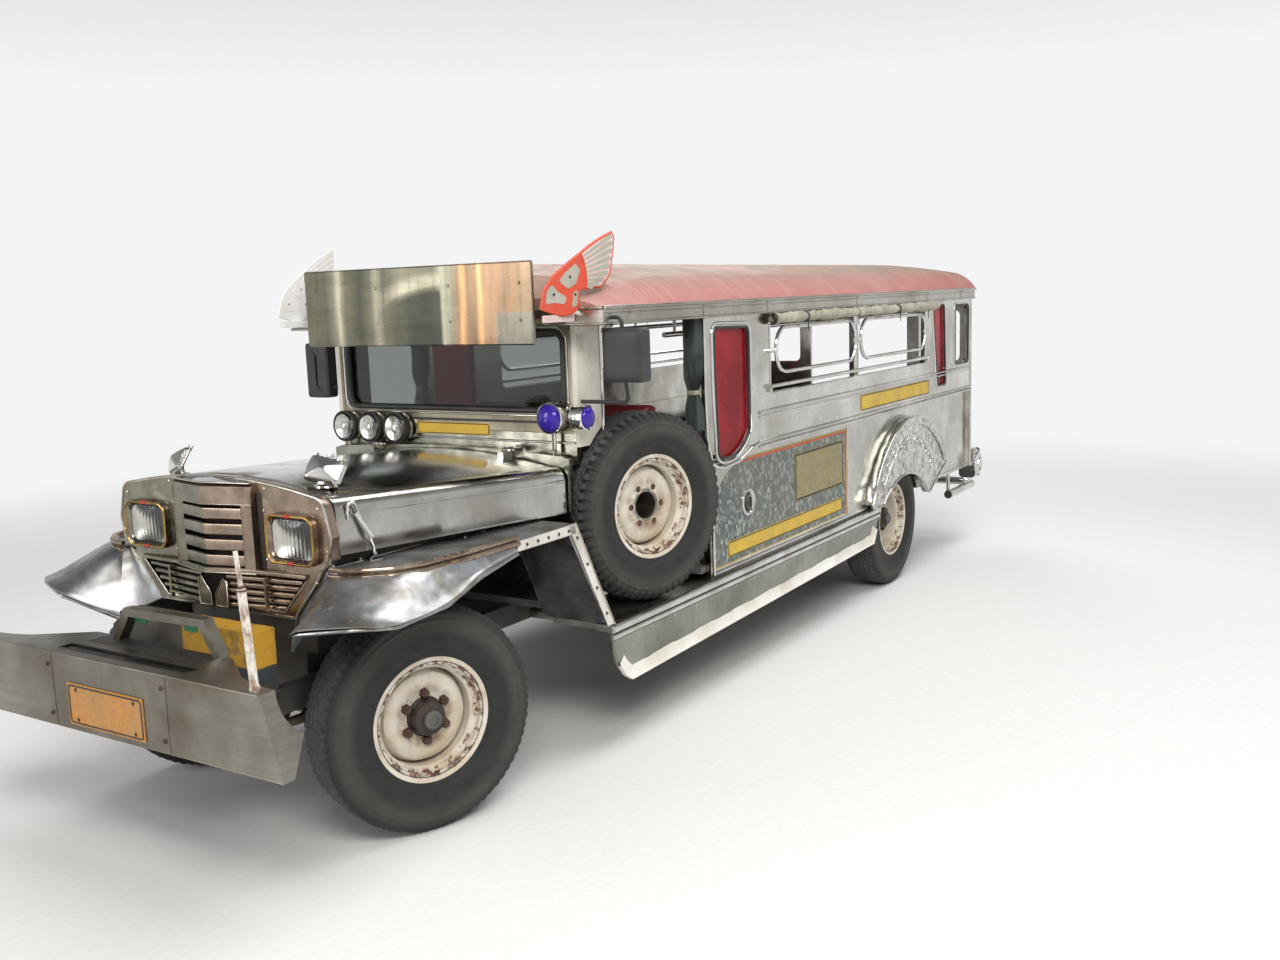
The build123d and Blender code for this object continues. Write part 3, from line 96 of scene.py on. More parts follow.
class Nodes:
    """A node tree, with short calls for the nodes that the looks share."""

    def __init__(self, tree):
        self.tree = tree

    def node(self, kind, **values):
        made = self.tree.nodes.new(kind)
        for key, value in values.items():
            setattr(made, key, value)
        return made

    def join(self, value, socket):
        if isinstance(value, bpy.types.NodeSocket):
            self.tree.links.new(value, socket)
        else:
            socket.default_value = value

    def ramp(self, value, *stops):
        """Grey or colour stops along a value."""
        made = self.node("ShaderNodeValToRGB")
        self.join(value, made.inputs["Fac"])
        bar = made.color_ramp
        while len(bar.elements) < len(stops):
            bar.elements.new(0.5)
        for element, (place, color) in zip(bar.elements, stops):
            element.position = place
            element.color = (*color, 1.0) if isinstance(color, tuple) else (color, color, color, 1.0)
        return made.outputs["Color"]

    def mix(self, share, one, two):
        made = self.node("ShaderNodeMix", data_type="RGBA")
        self.join(share, made.inputs[0])
        for value, socket in ((one, made.inputs[6]), (two, made.inputs[7])):
            self.join((*value, 1.0) if isinstance(value, tuple) else value, socket)
        return made.outputs[2]

    def math(self, kind, one, two=0.0):
        made = self.node("ShaderNodeMath", operation=kind)
        self.join(one, made.inputs[0])
        self.join(two, made.inputs[1])
        return made.outputs[0]

    def times(self, one, *more):
        for value in more:
            one = self.math("MULTIPLY", one, value)
        return one

    def rest(self, value):
        return self.math("SUBTRACT", 1.0, value)

    def square(self, one, two):
        """Square of the length across two values."""
        return self.math("ADD", self.times(one, one), self.times(two, two))

    def step(self, value, low, high):
        """0 below low, 1 above high, smooth between."""
        made = self.node("ShaderNodeMapRange", interpolation_type="SMOOTHSTEP")
        for socket, entry in (("Value", value), ("From Min", low), ("From Max", high)):
            self.join(entry, made.inputs[socket])
        return made.outputs["Result"]

    def window(self, value, low, start, end, high):
        """1 from start to end, 0 below low and above high."""
        return self.times(self.step(value, low, start), self.rest(self.step(value, end, high)))

    def seen(self):
        """1 for what the eye, a mirror or glass shows, 0 for light that falls on things."""
        ray = self.node("ShaderNodeLightPath").outputs
        return self.math("MAXIMUM", self.math("MAXIMUM", ray["Is Camera Ray"], ray["Is Glossy Ray"]),
                         ray["Is Transmission Ray"])

    def blend(self, share, one, two, socket):
        """Two shaders mixed into an output."""
        made = self.node("ShaderNodeMixShader")
        for value, entry in zip((share, one, two), made.inputs):
            self.join(value, entry)
        self.join(made.outputs[0], socket)


class Look(Nodes):
    """One material on the standard shader."""

    def __init__(self, name, color, rough, metallic=0.0, **sockets):
        self.material = bpy.data.materials.new(name)
        self.material.use_nodes = True
        super().__init__(self.material.node_tree)
        self.shader = self.tree.nodes["Principled BSDF"]
        self.set("Base Color", (*color, 1.0))
        self.set("Roughness", rough)
        self.set("Metallic", metallic)
        for key, value in sockets.items():
            self.set(key.replace("_", " "), value)
        self.place = self.node("ShaderNodeTexCoord").outputs["Object"]
        self.normal = None

    def set(self, socket, value):
        self.join(value, self.shader.inputs[socket])

    def texture(self, made, scale, stretch):
        """The place of a texture's pattern, stretched where asked."""
        place = self.place
        if stretch:
            mapping = self.node("ShaderNodeMapping")
            self.join(place, mapping.inputs["Vector"])
            self.join(stretch, mapping.inputs["Scale"])
            place = mapping.outputs["Vector"]
        self.join(place, made.inputs["Vector"])
        self.join(scale, made.inputs["Scale"])
        return made

    def noise(self, scale, detail=4.0, stretch=None, rough=0.55, warp=0.0):
        made = self.texture(self.node("ShaderNodeTexNoise"), scale, stretch)
        for socket, value in (("Detail", detail), ("Roughness", rough), ("Distortion", warp)):
            self.join(value, made.inputs[socket])
        return made.outputs["Fac"]

    def cells(self, scale, stretch=None):
        return self.texture(self.node("ShaderNodeTexVoronoi"), scale, stretch).outputs

    def patches(self, low, high, *noise, **more):
        """Noise, drawn apart between two stops."""
        return self.ramp(self.noise(*noise, **more), low, high)

    def blur(self, low, high, *noise, **more):
        """Roughness in patches."""
        self.set("Roughness", self.patches(low, high, *noise, **more))

    def axis(self, name):
        """One coordinate in metres in the row frame, or in the piece's own frame."""
        made = self.node("ShaderNodeSeparateXYZ")
        self.join(self.place, made.inputs[0])
        return made.outputs[name]

    def radius(self, one, two):
        """Distance from the origin across two axes."""
        return self.math("SQRT", self.square(self.axis(one), self.axis(two)))

    def aside(self):
        """Distance from the vehicle's middle plane."""
        return self.math("ABSOLUTE", self.axis("Y"))

    def bump(self, height, strength, depth):
        made = self.node("ShaderNodeBump")
        for socket, value in (("Height", height), ("Strength", strength), ("Distance", depth)):
            self.join(value, made.inputs[socket])
        if self.normal:
            self.join(self.normal, made.inputs["Normal"])
        self.normal = made.outputs["Normal"]
        self.set("Normal", self.normal)

    def grain(self, strength, depth, *noise, **more):
        """Noise as a bump."""
        self.bump(self.noise(*noise, **more), strength, depth)


def steel(name, bright, dark, rough=(0.12, 0.3), dents=0.25, grain=(1, 1, 1), scale=2.0, rust=0.0,
          wave=3.2):
    """Stainless sheet with stains, scratches and shallow dents."""
    look = Look(name, bright, rough[0], 1.0)
    stain = look.noise(scale, 6.0, warp=0.4)
    color = look.mix(look.ramp(stain, (0.36, 0.0), (0.62, 1.0)), dark, bright)
    streak = look.noise(14.0, 5.0, grain, 0.7)
    color = look.mix(look.ramp(streak, (0.35, 0.0), (0.75, 0.45)), color, dark)
    blur = look.patches((0.3, rough[0]), (0.72, rough[1]), 7.0, 7.0, grain, 0.65)
    if rust:
        speck = look.patches((0.66 - rust, 0.0), (0.7 - rust * 0.6, 1.0), 38.0, 6.0, None, 0.7)
        color = look.mix(speck, color, (0.16, 0.075, 0.035))
        blur = look.mix(speck, blur, (0.75, 0.75, 0.75))
        look.set("Metallic", look.rest(speck))
    look.set("Base Color", color)
    look.set("Roughness", blur)
    look.grain(dents, 0.02, wave, 2.0)
    look.grain(0.06, 0.003, 26.0, 8.0, grain, 0.7)
    return look.material


def paint(name, color, worn, rust=(0.14, 0.06, 0.03), chips=0.1, dust=0.3, rough=0.42, scale=3.0):
    """Brushed or sprayed paint with dust, wear and rusty chips."""
    look = Look(name, color, rough)
    base = look.mix(look.patches((0.35, 0.0), (0.7, 1.0), scale, 6.0), color, worn)
    base = look.mix(look.patches((0.45, 0.0), (0.8, dust), scale * 7, 8.0, None, 0.7), base,
                    tuple(0.5 * c + 0.22 for c in worn))
    chip = look.patches((0.7 - chips, 0.0), (0.73 - chips, 1.0), scale * 11, 7.0, None, 0.75)
    look.set("Base Color", look.mix(chip, base, rust))
    look.blur((0.3, rough - 0.08), (0.7, rough + 0.25), scale * 4, 5.0)
    look.bump(look.times(chip, -1.0), 0.25, 0.001)
    look.grain(0.08, 0.002, scale * 20, 6.0)
    return look.material


def rubber():
    """Worn tyre rubber: dusty sidewall bands and a greyer tread, in the wheel's own frame."""
    look = Look("tyre_rubber", (0.018, 0.018, 0.017), 0.78)
    round_out = look.radius("X", "Z")
    dust = look.noise(11.0, 7.0, None, 0.7)
    share = look.times(look.window(round_out, 0.285, 0.335, 0.352, 0.392),
                       look.ramp(dust, (0.3, 0.1), (0.7, 0.75)))
    color = look.mix(share, (0.017, 0.017, 0.016), (0.085, 0.08, 0.066))
    tread = look.step(round_out, 0.392, 0.4035)
    worn = look.mix(look.ramp(dust, (0.3, 0.0), (0.75, 1.0)), (0.035, 0.036, 0.038), (0.10, 0.10, 0.095))
    look.set("Base Color", look.mix(tread, color, worn))
    look.set("Roughness", look.ramp(dust, (0.3, 0.62), (0.7, 0.92)))
    look.grain(0.12, 0.002, 60.0, 6.0)
    return look.material


def wheel_paint():
    """Old cream paint, darker brown in patches round the stud circle, rusty at the rim's groove and in
    chips.
    """
    look = Look("wheel_cream", (0.62, 0.56, 0.45), 0.4)
    out = look.radius("X", "Z")
    base = look.mix(look.patches((0.35, 0.0), (0.7, 1.0), 9.0, 6.0), (0.70, 0.66, 0.57),
                    (0.50, 0.41, 0.29))
    # Darker brown in patches round the stud circle.
    stud_circle_brown = look.times(look.window(out, 0.058, 0.075, 0.092, 0.128),
                       look.patches((0.38, 0.05), (0.64, 0.85), 17.0, 7.0, None, 0.7))
    base = look.mix(stud_circle_brown, base, (0.20, 0.11, 0.055))
    lip = look.window(out, 0.178, 0.190, 0.204, 0.212)
    flake = look.patches((0.50, 0.0), (0.56, 1.0), 34.0, 7.0, None, 0.75)
    base = look.mix(look.times(lip, flake), base, (0.13, 0.055, 0.035))
    chip = look.patches((0.655, 0.0), (0.68, 1.0), 55.0, 8.0, None, 0.75)
    look.set("Base Color", look.mix(chip, base, (0.12, 0.055, 0.03)))
    look.blur((0.3, 0.3), (0.7, 0.6), 20.0, 5.0)
    look.grain(0.2, 0.006, 9.0, 3.0)
    look.grain(0.1, 0.001, 70.0, 6.0)
    return look.material


def galvanised():
    """Galvanised sheet with its spangle, lighter and darker flakes."""
    look = Look("galvanised_sheet", (0.42, 0.44, 0.42), 0.42, 0.65)
    grey = look.node("ShaderNodeRGBToBW")
    look.join(look.cells(88.0, (1, 1, 0.6))["Color"], grey.inputs[0])
    color = look.ramp(grey.outputs[0], (0.25, (0.085, 0.105, 0.10)), (0.62, (0.165, 0.19, 0.18)),
                      (0.88, (0.48, 0.50, 0.46)))
    stain = look.patches((0.4, 0.0), (0.75, 0.5), 2.6, 6.0)
    look.set("Base Color", look.mix(stain, color, (0.26, 0.24, 0.18)))
    look.set("Roughness", look.ramp(grey.outputs[0], (0.2, 0.3), (0.8, 0.55)))
    look.grain(0.25, 0.012, 3.0, 2.0)
    look.grain(0.05, 0.002, 40.0, 6.0)
    return look.material


def roof_paint():
    """Chalky faded red, pink at the sides and dusty brown on the crown, with run stains."""
    look = Look("roof_paint", (0.5, 0.2, 0.18), 0.62)
    across = look.aside()
    base = look.mix(look.patches((0.35, 0.0), (0.68, 1.0), 2.4, 7.0, (0.6, 1, 1)),
                    (0.40, 0.115, 0.105), (0.49, 0.215, 0.195))
    crown = look.times(look.rest(look.step(across, 0.62, 0.95)),
                       look.patches((0.30, 0.45), (0.60, 1.0), 3.1, 7.0))
    base = look.mix(crown, base, (0.215, 0.175, 0.12))
    runs = look.patches((0.5, 0.0), (0.78, 0.5), 5.0, 6.0, (6.0, 1.2, 0.8), 0.65)
    base = look.mix(runs, base, (0.56, 0.31, 0.275))
    chip = look.patches((0.66, 0.0), (0.70, 1.0), 30.0, 7.0, None, 0.75)
    look.set("Base Color", look.mix(chip, base, (0.25, 0.13, 0.10)))
    look.blur((0.3, 0.5), (0.7, 0.8), 8.0, 5.0)
    look.grain(0.18, 0.012, 4.0, 3.0)
    look.grain(0.12, 0.002, 60.0, 6.0)
    return look.material


def glass(name, color, rough=0.03, share=1.0):
    """Thin clear or tinted glass with a faint film of dust."""
    look = Look(name, color, rough, Transmission_Weight=share, IOR=1.45)
    look.blur((0.35, rough), (0.75, rough + 0.03), 6.0, 6.0)
    look.grain(0.05, 0.002, 9.0, 2.0)
    return look.material


def red_acrylic():
    """See-through red sheet, darker in patches, lightly scratched."""
    look = Look("red_acrylic", (0.52, 0.02, 0.035), 0.12, Transmission_Weight=0.55, IOR=1.2)
    tint = look.patches((0.35, (0.34, 0.012, 0.02)), (0.7, (0.60, 0.035, 0.05)), 4.0, 5.0)
    look.set("Base Color", tint)
    look.blur((0.3, 0.08), (0.75, 0.28), 30.0, 7.0, (1, 1, 0.2))
    look.grain(0.1, 0.004, 5.0, 2.0)
    return look.material


def vinyl(name, color, worn):
    """Sewn vinyl or coated cloth with grain, creases and rubbed patches."""
    look = Look(name, color, 0.45, Sheen_Weight=0.15)
    look.set("Base Color", look.mix(look.patches((0.4, 0.0), (0.7, 1.0), 6.0, 6.0), color, worn))
    look.blur((0.3, 0.34), (0.7, 0.62), 12.0, 5.0)
    look.grain(0.2, 0.003, 30.0, 5.0)
    look.bump(look.cells(360.0)["Distance"], 0.12, 0.0005)
    return look.material


def plain(name, color, second, rough=0.5, metallic=0.0, scale=12.0, depth=0.08):
    """Moulded plastic, rubber trim or an oily casting: two close tones and fine grain."""
    look = Look(name, color, rough, metallic)
    look.set("Base Color", look.mix(look.patches((0.35, 0.0), (0.7, 1.0), scale, 6.0), color, second))
    look.blur((0.3, rough - 0.1), (0.7, rough + 0.12), scale * 2, 5.0)
    look.grain(depth, 0.001, scale * 12, 5.0)
    return look.material


def bumper_steel():
    """Dull brushed sheet, with rusty white poles above the deck."""
    look = Look("bumper_steel", (0.4, 0.37, 0.32), 0.34, 1.0)
    pole = look.times(look.step(look.axis("Z"), 0.738, 0.742), look.step(look.aside(), 0.60, 0.61))
    stain = look.patches((0.36, 0.0), (0.64, 1.0), 1.8, 6.0, None, 0.6, 0.5)
    sheet = look.mix(stain, (0.155, 0.135, 0.108), (0.33, 0.315, 0.275))
    streak = look.patches((0.4, 0.0), (0.75, 0.5), 9.0, 6.0, (1, 0.15, 4.0), 0.7)
    sheet = look.mix(streak, sheet, (0.15, 0.12, 0.09))
    rusty = look.patches((0.46, 0.0), (0.6, 1.0), 22.0, 7.0, (1, 1, 0.5), 0.7)
    look.set("Base Color", look.mix(pole, sheet, look.mix(rusty, (0.66, 0.62, 0.55), (0.24, 0.13, 0.075))))
    look.set("Metallic", look.rest(pole))
    look.blur((0.3, 0.24), (0.72, 0.48), 6.0, 7.0, (1, 0.3, 2.0), 0.65)
    look.grain(0.45, 0.03, 2.6, 3.0, None, 0.5, 0.3)
    look.grain(0.08, 0.003, 22.0, 8.0, (1, 0.2, 3.0), 0.7)
    return look.material


def sign_steel():
    """Thin wavy stainless sheet with painted reflections: olive with a pale streak, a pale painted
    highlight round a dark arch of painted shade, copper reflection to its left.
    """
    look = Look("sign_steel", (0.4, 0.37, 0.28), 0.24, 1.0)
    waver = look.times(look.math("SUBTRACT", look.noise(1.7, 2.0, (1, 1, 0.55)), 0.5), 0.11)
    across = look.math("ADD", look.math("ADD", look.times(look.axis("Y"), 0.809), 0.5), waver)
    up = look.times(look.math("SUBTRACT", look.axis("Z"), 1.665), 3.195)
    olive, grey, dark = (0.20, 0.19, 0.135), (0.27, 0.255, 0.19), (0.105, 0.105, 0.08)
    copper, brown, pale = (0.82, 0.45, 0.21), (0.37, 0.235, 0.145), (0.66, 0.60, 0.45)
    # Painted reflections: olive, grey, pale and dark bands across the sheet, copper and brown to the
    # vehicle's left.
    sheet = look.ramp(across, (0.0, olive), (0.09, (0.17, 0.155, 0.11)), (0.125, grey), (0.15, pale),
                      (0.18, olive), (0.25, dark), (0.31, olive), (0.345, (0.40, 0.37, 0.28)),
                      (0.38, olive), (0.47, grey), (0.60, olive), (0.635, (0.50, 0.48, 0.36)),
                      (0.67, (0.31, 0.28, 0.20)), (0.695, brown), (0.712, copper), (0.73, brown),
                      (0.765, (0.30, 0.205, 0.13)), (0.782, copper), (0.80, (0.42, 0.27, 0.165)),
                      (0.90, brown), (1.0, (0.31, 0.225, 0.15)))
    ahead = look.rest(look.step(across, 0.618, 0.632))
    far = look.square(look.times(look.math("SUBTRACT", across, 0.625), 3.1), look.times(up, 1.36))
    # Painted highlight: a pale arch.
    lit = look.times(look.window(far, 0.95, 1.12, 1.2, 1.75), ahead, look.step(across, 0.30, 0.50))
    sheet = look.mix(look.times(lit, 0.8), sheet, pale)
    # Painted shade: dark inside the arch.
    shade = look.times(look.rest(look.step(far, 0.80, 1.0)), ahead, look.step(across, 0.36, 0.52))
    sheet = look.mix(shade, sheet, (0.085, 0.09, 0.07))
    # Painted reflection: a grey patch at the low corner on the vehicle's left.
    corner = look.times(look.step(across, 0.83, 0.85), look.rest(look.step(up, 0.36, 0.42)))
    sheet = look.mix(look.times(corner, 0.8), sheet, (0.27, 0.27, 0.22))
    streak = look.patches((0.45, 0.0), (0.75, 0.55), 9.0, 4.0, (1, 3.0, 0.35))
    look.set("Base Color", look.mix(streak, sheet, dark))
    look.blur((0.3, 0.20), (0.75, 0.38), 9.0, 6.0, (1, 0.4, 2))
    look.grain(0.3, 0.02, 2.3, 2.0, (1, 1.6, 0.5))
    return look.material


def arch_metal():
    """Stainless arch cover: smooth bright band in front, embossed field on its flat side."""
    look = Look("arch_metal", (0.72, 0.71, 0.66), 0.14, 1.0)
    field = look.step(look.aside(), 0.8715, 0.8735)
    stain = look.patches((0.38, 0.0), (0.64, 1.0), 3.0, 6.0)
    smooth = look.mix(stain, (0.46, 0.45, 0.41), (0.76, 0.75, 0.70))
    relief = look.noise(17.0, 3.0, (1, 1, 0.8), 0.5, 1.8)
    rough = look.ramp(relief, (0.36, (0.22, 0.22, 0.19)), (0.47, (0.50, 0.49, 0.45)),
                      (0.56, (0.80, 0.79, 0.75)), (0.64, (0.42, 0.41, 0.37)))
    look.set("Base Color", look.mix(field, smooth, rough))
    look.blur((0.3, 0.09), (0.72, 0.26), 10.0, 6.0)
    look.bump(look.times(relief, field), 0.6, 0.012)
    look.grain(0.3, 0.012, 4.0, 2.0)
    return look.material


def patina(name, warm, cool, mottle, rough=(0.17, 0.38)):
    """Browned stainless, warm to the vehicle's left and grey-green to its right."""
    look = Look(name, warm, rough[0], 1.0)
    patch = look.times(look.math("SUBTRACT", look.noise(5.5, 5.0, None, 0.6), 0.5), mottle)
    tone = look.mix(look.step(look.math("ADD", look.axis("Y"), patch), -0.012, 0.012), cool, warm)
    stain = look.patches((0.40, 0.0), (0.68, 0.75), 9.0, 7.0, None, 0.65)
    tone = look.mix(stain, tone, (0.13, 0.10, 0.07))
    glint = look.patches((0.55, 0.0), (0.72, 0.5), 26.0, 6.0, (1, 0.4, 1))
    look.set("Base Color", look.mix(glint, tone, (0.55, 0.48, 0.37)))
    look.blur((0.3, rough[0]), (0.72, rough[1]), 7.0, 7.0)
    look.grain(0.2, 0.014, 4.0, 2.0)
    look.grain(0.06, 0.003, 28.0, 8.0)
    return look.material


def screen_paint():
    """Tan stainless screen frame whose outer edges are painted cream."""
    look = Look("screen_paint", (0.45, 0.40, 0.30), 0.3)
    edge = look.step(look.aside(), 0.648, 0.650)
    stain = look.patches((0.36, 0.0), (0.64, 1.0), 4.0, 6.0, (1, 1, 0.6))
    metal = look.mix(stain, (0.16, 0.14, 0.10), (0.37, 0.33, 0.245))
    chip = look.patches((0.64, 0.0), (0.67, 1.0), 30.0, 7.0, None, 0.75)
    cream = look.mix(chip, look.mix(stain, (0.72, 0.69, 0.61), (0.62, 0.58, 0.49)), (0.20, 0.12, 0.07))
    look.set("Base Color", look.mix(edge, metal, cream))
    look.set("Metallic", look.rest(edge))
    look.blur((0.3, 0.22), (0.72, 0.46), 8.0, 6.0)
    look.grain(0.25, 0.014, 4.0, 2.0)
    look.grain(0.06, 0.002, 40.0, 7.0)
    return look.material


def wing_paint():
    """Silver feathers on the left wing, plain white on the right one."""
    look = Look("wing_paint", (0.7, 0.7, 0.68), 0.4)
    worn = look.patches((0.35, 0.0), (0.7, 1.0), 14.0, 6.0)
    left = look.mix(worn, (0.40, 0.41, 0.34), (0.55, 0.50, 0.42))
    right = look.mix(worn, (0.78, 0.77, 0.74), (0.62, 0.60, 0.56))
    look.set("Base Color", look.mix(look.step(look.axis("Y"), -0.1, 0.1), right, left))
    look.set("Metallic", look.times(look.step(look.axis("Y"), -0.1, 0.1), 0.5))
    look.grain(0.1, 0.002, 40.0, 5.0)
    return look.material


def chassis_paint():
    """Dusty dark frame paint, with the yellow box member behind the bumper."""
    look = Look("frame_dark", (0.05, 0.055, 0.055), 0.6)
    dark = look.mix(look.patches((0.35, 0.0), (0.7, 1.0), 5.0, 7.0), (0.035, 0.04, 0.042),
                    (0.12, 0.095, 0.07))
    front = look.times(look.step(look.axis("X"), AXLE + 0.425, AXLE + 0.428),
                       look.times(look.step(look.axis("Z"), 0.664, 0.668),
                                  look.step(look.axis("Y"), -0.02, 0.0)))
    worn = look.patches((0.5, 0.0), (0.66, 0.9), 13.0, 7.0, None, 0.7)
    yellow = look.mix(worn, (0.50, 0.27, 0.02), (0.16, 0.09, 0.04))
    look.set("Base Color", look.mix(front, dark, yellow))
    look.grain(0.2, 0.002, 30.0, 7.0)
    return look.material


LOOKS = {
    "tyre": rubber(),
    "wheel": wheel_paint(),
    "mirror_steel": steel("mirror_steel", (0.62, 0.615, 0.59), (0.30, 0.285, 0.25), (0.08, 0.24), 0.16),
    "body_steel": steel("body_steel", (0.70, 0.69, 0.645), (0.40, 0.385, 0.335), (0.11, 0.28), 0.28),
    "fender_steel": steel("fender_steel", (0.46, 0.475, 0.50), (0.21, 0.195, 0.17), (0.25, 0.50), 0.5,
                          scale=6.5, rust=0.03, wave=6.5),
    "face_steel": patina("face_steel", (0.345, 0.26, 0.20), (0.27, 0.26, 0.205), 0.9),
    "grille_steel": patina("grille_steel", (0.36, 0.275, 0.215), (0.245, 0.24, 0.185), 0.0),
    "sign_steel": sign_steel(),
    "arch_metal": arch_metal(),
    "screen_paint": screen_paint(),
    "cowl_steel": steel("cowl_steel", (0.44, 0.43, 0.37), (0.19, 0.185, 0.15), (0.14, 0.32), 0.45,
                        (1, 0.4, 2), 3.0, wave=5.0),
    "skirt_steel": steel("skirt_steel", (0.36, 0.375, 0.325), (0.19, 0.20, 0.165), (0.18, 0.34), 0.3,
                         (5, 1, 0.4), 2.4),
    "skirt_white": paint("skirt_white", (0.84, 0.82, 0.77), (0.62, 0.57, 0.48), chips=0.03, dust=0.2,
                         scale=4.0),
    "tan_plate": paint("tan_plate", (0.28, 0.24, 0.09), (0.23, 0.20, 0.10), chips=0.05, dust=0.25,
                       scale=6.0),
    "wing_pink": paint("wing_pink", (0.70, 0.56, 0.52), (0.60, 0.42, 0.38), chips=0.03, dust=0.2,
                       scale=6.0),
    "band_steel": steel("band_steel", (0.50, 0.485, 0.44), (0.28, 0.255, 0.21), (0.2, 0.42), 0.3,
                        (0.3, 1, 2)),
    "sill_steel": steel("sill_steel", (0.46, 0.45, 0.41), (0.24, 0.225, 0.19), (0.2, 0.42), 0.3),
    "chrome": steel("chrome", (0.72, 0.72, 0.71), (0.5, 0.48, 0.44), (0.06, 0.2), 0.08, scale=6.0),
    "bumper": bumper_steel(),
    "galvanised": galvanised(),
    "roof": roof_paint(),
    "frame_dark": chassis_paint(),
    "cream": paint("cream_paint", (0.66, 0.63, 0.55), (0.50, 0.46, 0.38), chips=0.06, scale=4.0),
    "white_edge": paint("white_edge", (0.68, 0.66, 0.61), (0.45, 0.42, 0.36), chips=0.08, scale=5.0),
    "yellow": paint("sign_yellow", (0.66, 0.44, 0.03), (0.52, 0.33, 0.04), chips=0.02, dust=0.2, scale=6.0),
    "plate": paint("plate_orange", (0.50, 0.215, 0.03), (0.38, 0.20, 0.06), chips=0.12, scale=9.0),
    "clear_glass": glass("clear_glass", (0.20, 0.22, 0.215)),
    "lens": glass("lamp_lens", (0.93, 0.93, 0.90), 0.05),
    "purple": glass("purple_lens", (0.05, 0.02, 0.42), 0.08, 0.35),
    "amber": glass("red_lens", (0.55, 0.02, 0.02), 0.1, 0.3),
    "red_acrylic": red_acrylic(),
    "gasket": plain("black_gasket", (0.012, 0.012, 0.012), (0.03, 0.028, 0.026), 0.5),
    "mirror_case": plain("mirror_case", (0.022, 0.022, 0.022), (0.040, 0.039, 0.038), 0.5),
    "engine": plain("engine_iron", (0.05, 0.048, 0.045), (0.11, 0.09, 0.07), 0.6, 0.4),
    "exhaust": paint("exhaust_rust", (0.12, 0.07, 0.045), (0.17, 0.11, 0.07), chips=0.12, rough=0.7),
    "floor": paint("floor_paint", (0.13, 0.135, 0.14), (0.20, 0.19, 0.17), chips=0.08, rough=0.6),
    "brass": steel("lamp_brass", (0.46, 0.30, 0.09), (0.22, 0.135, 0.05), (0.2, 0.4), 0.1, scale=9.0),
    "red_mark": plain("red_mark", (0.45, 0.03, 0.02), (0.30, 0.03, 0.02), 0.4),
    "rust": paint("rusty_iron", (0.06, 0.028, 0.018), (0.10, 0.05, 0.032), chips=0.10, dust=0.1,
                  rough=0.72, scale=9.0),
    "hub_dark": plain("hub_dark", (0.025, 0.023, 0.022), (0.07, 0.05, 0.04), 0.55, 0.3),
    "hub_cap": plain("hub_cap", (0.10, 0.105, 0.10), (0.16, 0.15, 0.13), 0.45, 0.6),
    "seat": vinyl("seat_vinyl", (0.20, 0.012, 0.018), (0.30, 0.04, 0.035)),
    "curtain": vinyl("curtain_vinyl", (0.27, 0.25, 0.18), (0.44, 0.41, 0.31)),
    "curtain_dark": vinyl("curtain_dark", (0.018, 0.026, 0.022), (0.05, 0.06, 0.05)),
    "teal": paint("underside_teal", (0.045, 0.085, 0.095), (0.09, 0.10, 0.09), chips=0.08, rough=0.6),
    "wing_red": paint("wing_red", (0.62, 0.07, 0.03), (0.50, 0.08, 0.04), chips=0.03, dust=0.12, scale=6.0),
    "wing_white": paint("wing_white", (0.76, 0.75, 0.72), (0.62, 0.60, 0.56), chips=0.02, dust=0.15),
    "bead_steel": steel("bead_steel", (0.62, 0.60, 0.54), (0.36, 0.31, 0.24), (0.12, 0.3), 0.1, scale=7.0),
    "rusty_steel": steel("rusty_steel", (0.42, 0.365, 0.30), (0.225, 0.155, 0.105), (0.22, 0.45), 0.2,
                         scale=5.0, rust=0.12),
    "mirror_glass": steel("mirror_glass", (0.55, 0.57, 0.58), (0.45, 0.47, 0.48), (0.03, 0.1), 0.02),
    "green_mark": plain("green_mark", (0.01, 0.17, 0.06), (0.02, 0.24, 0.09), 0.35),
    "wings": wing_paint(),
}


# Mesh tools


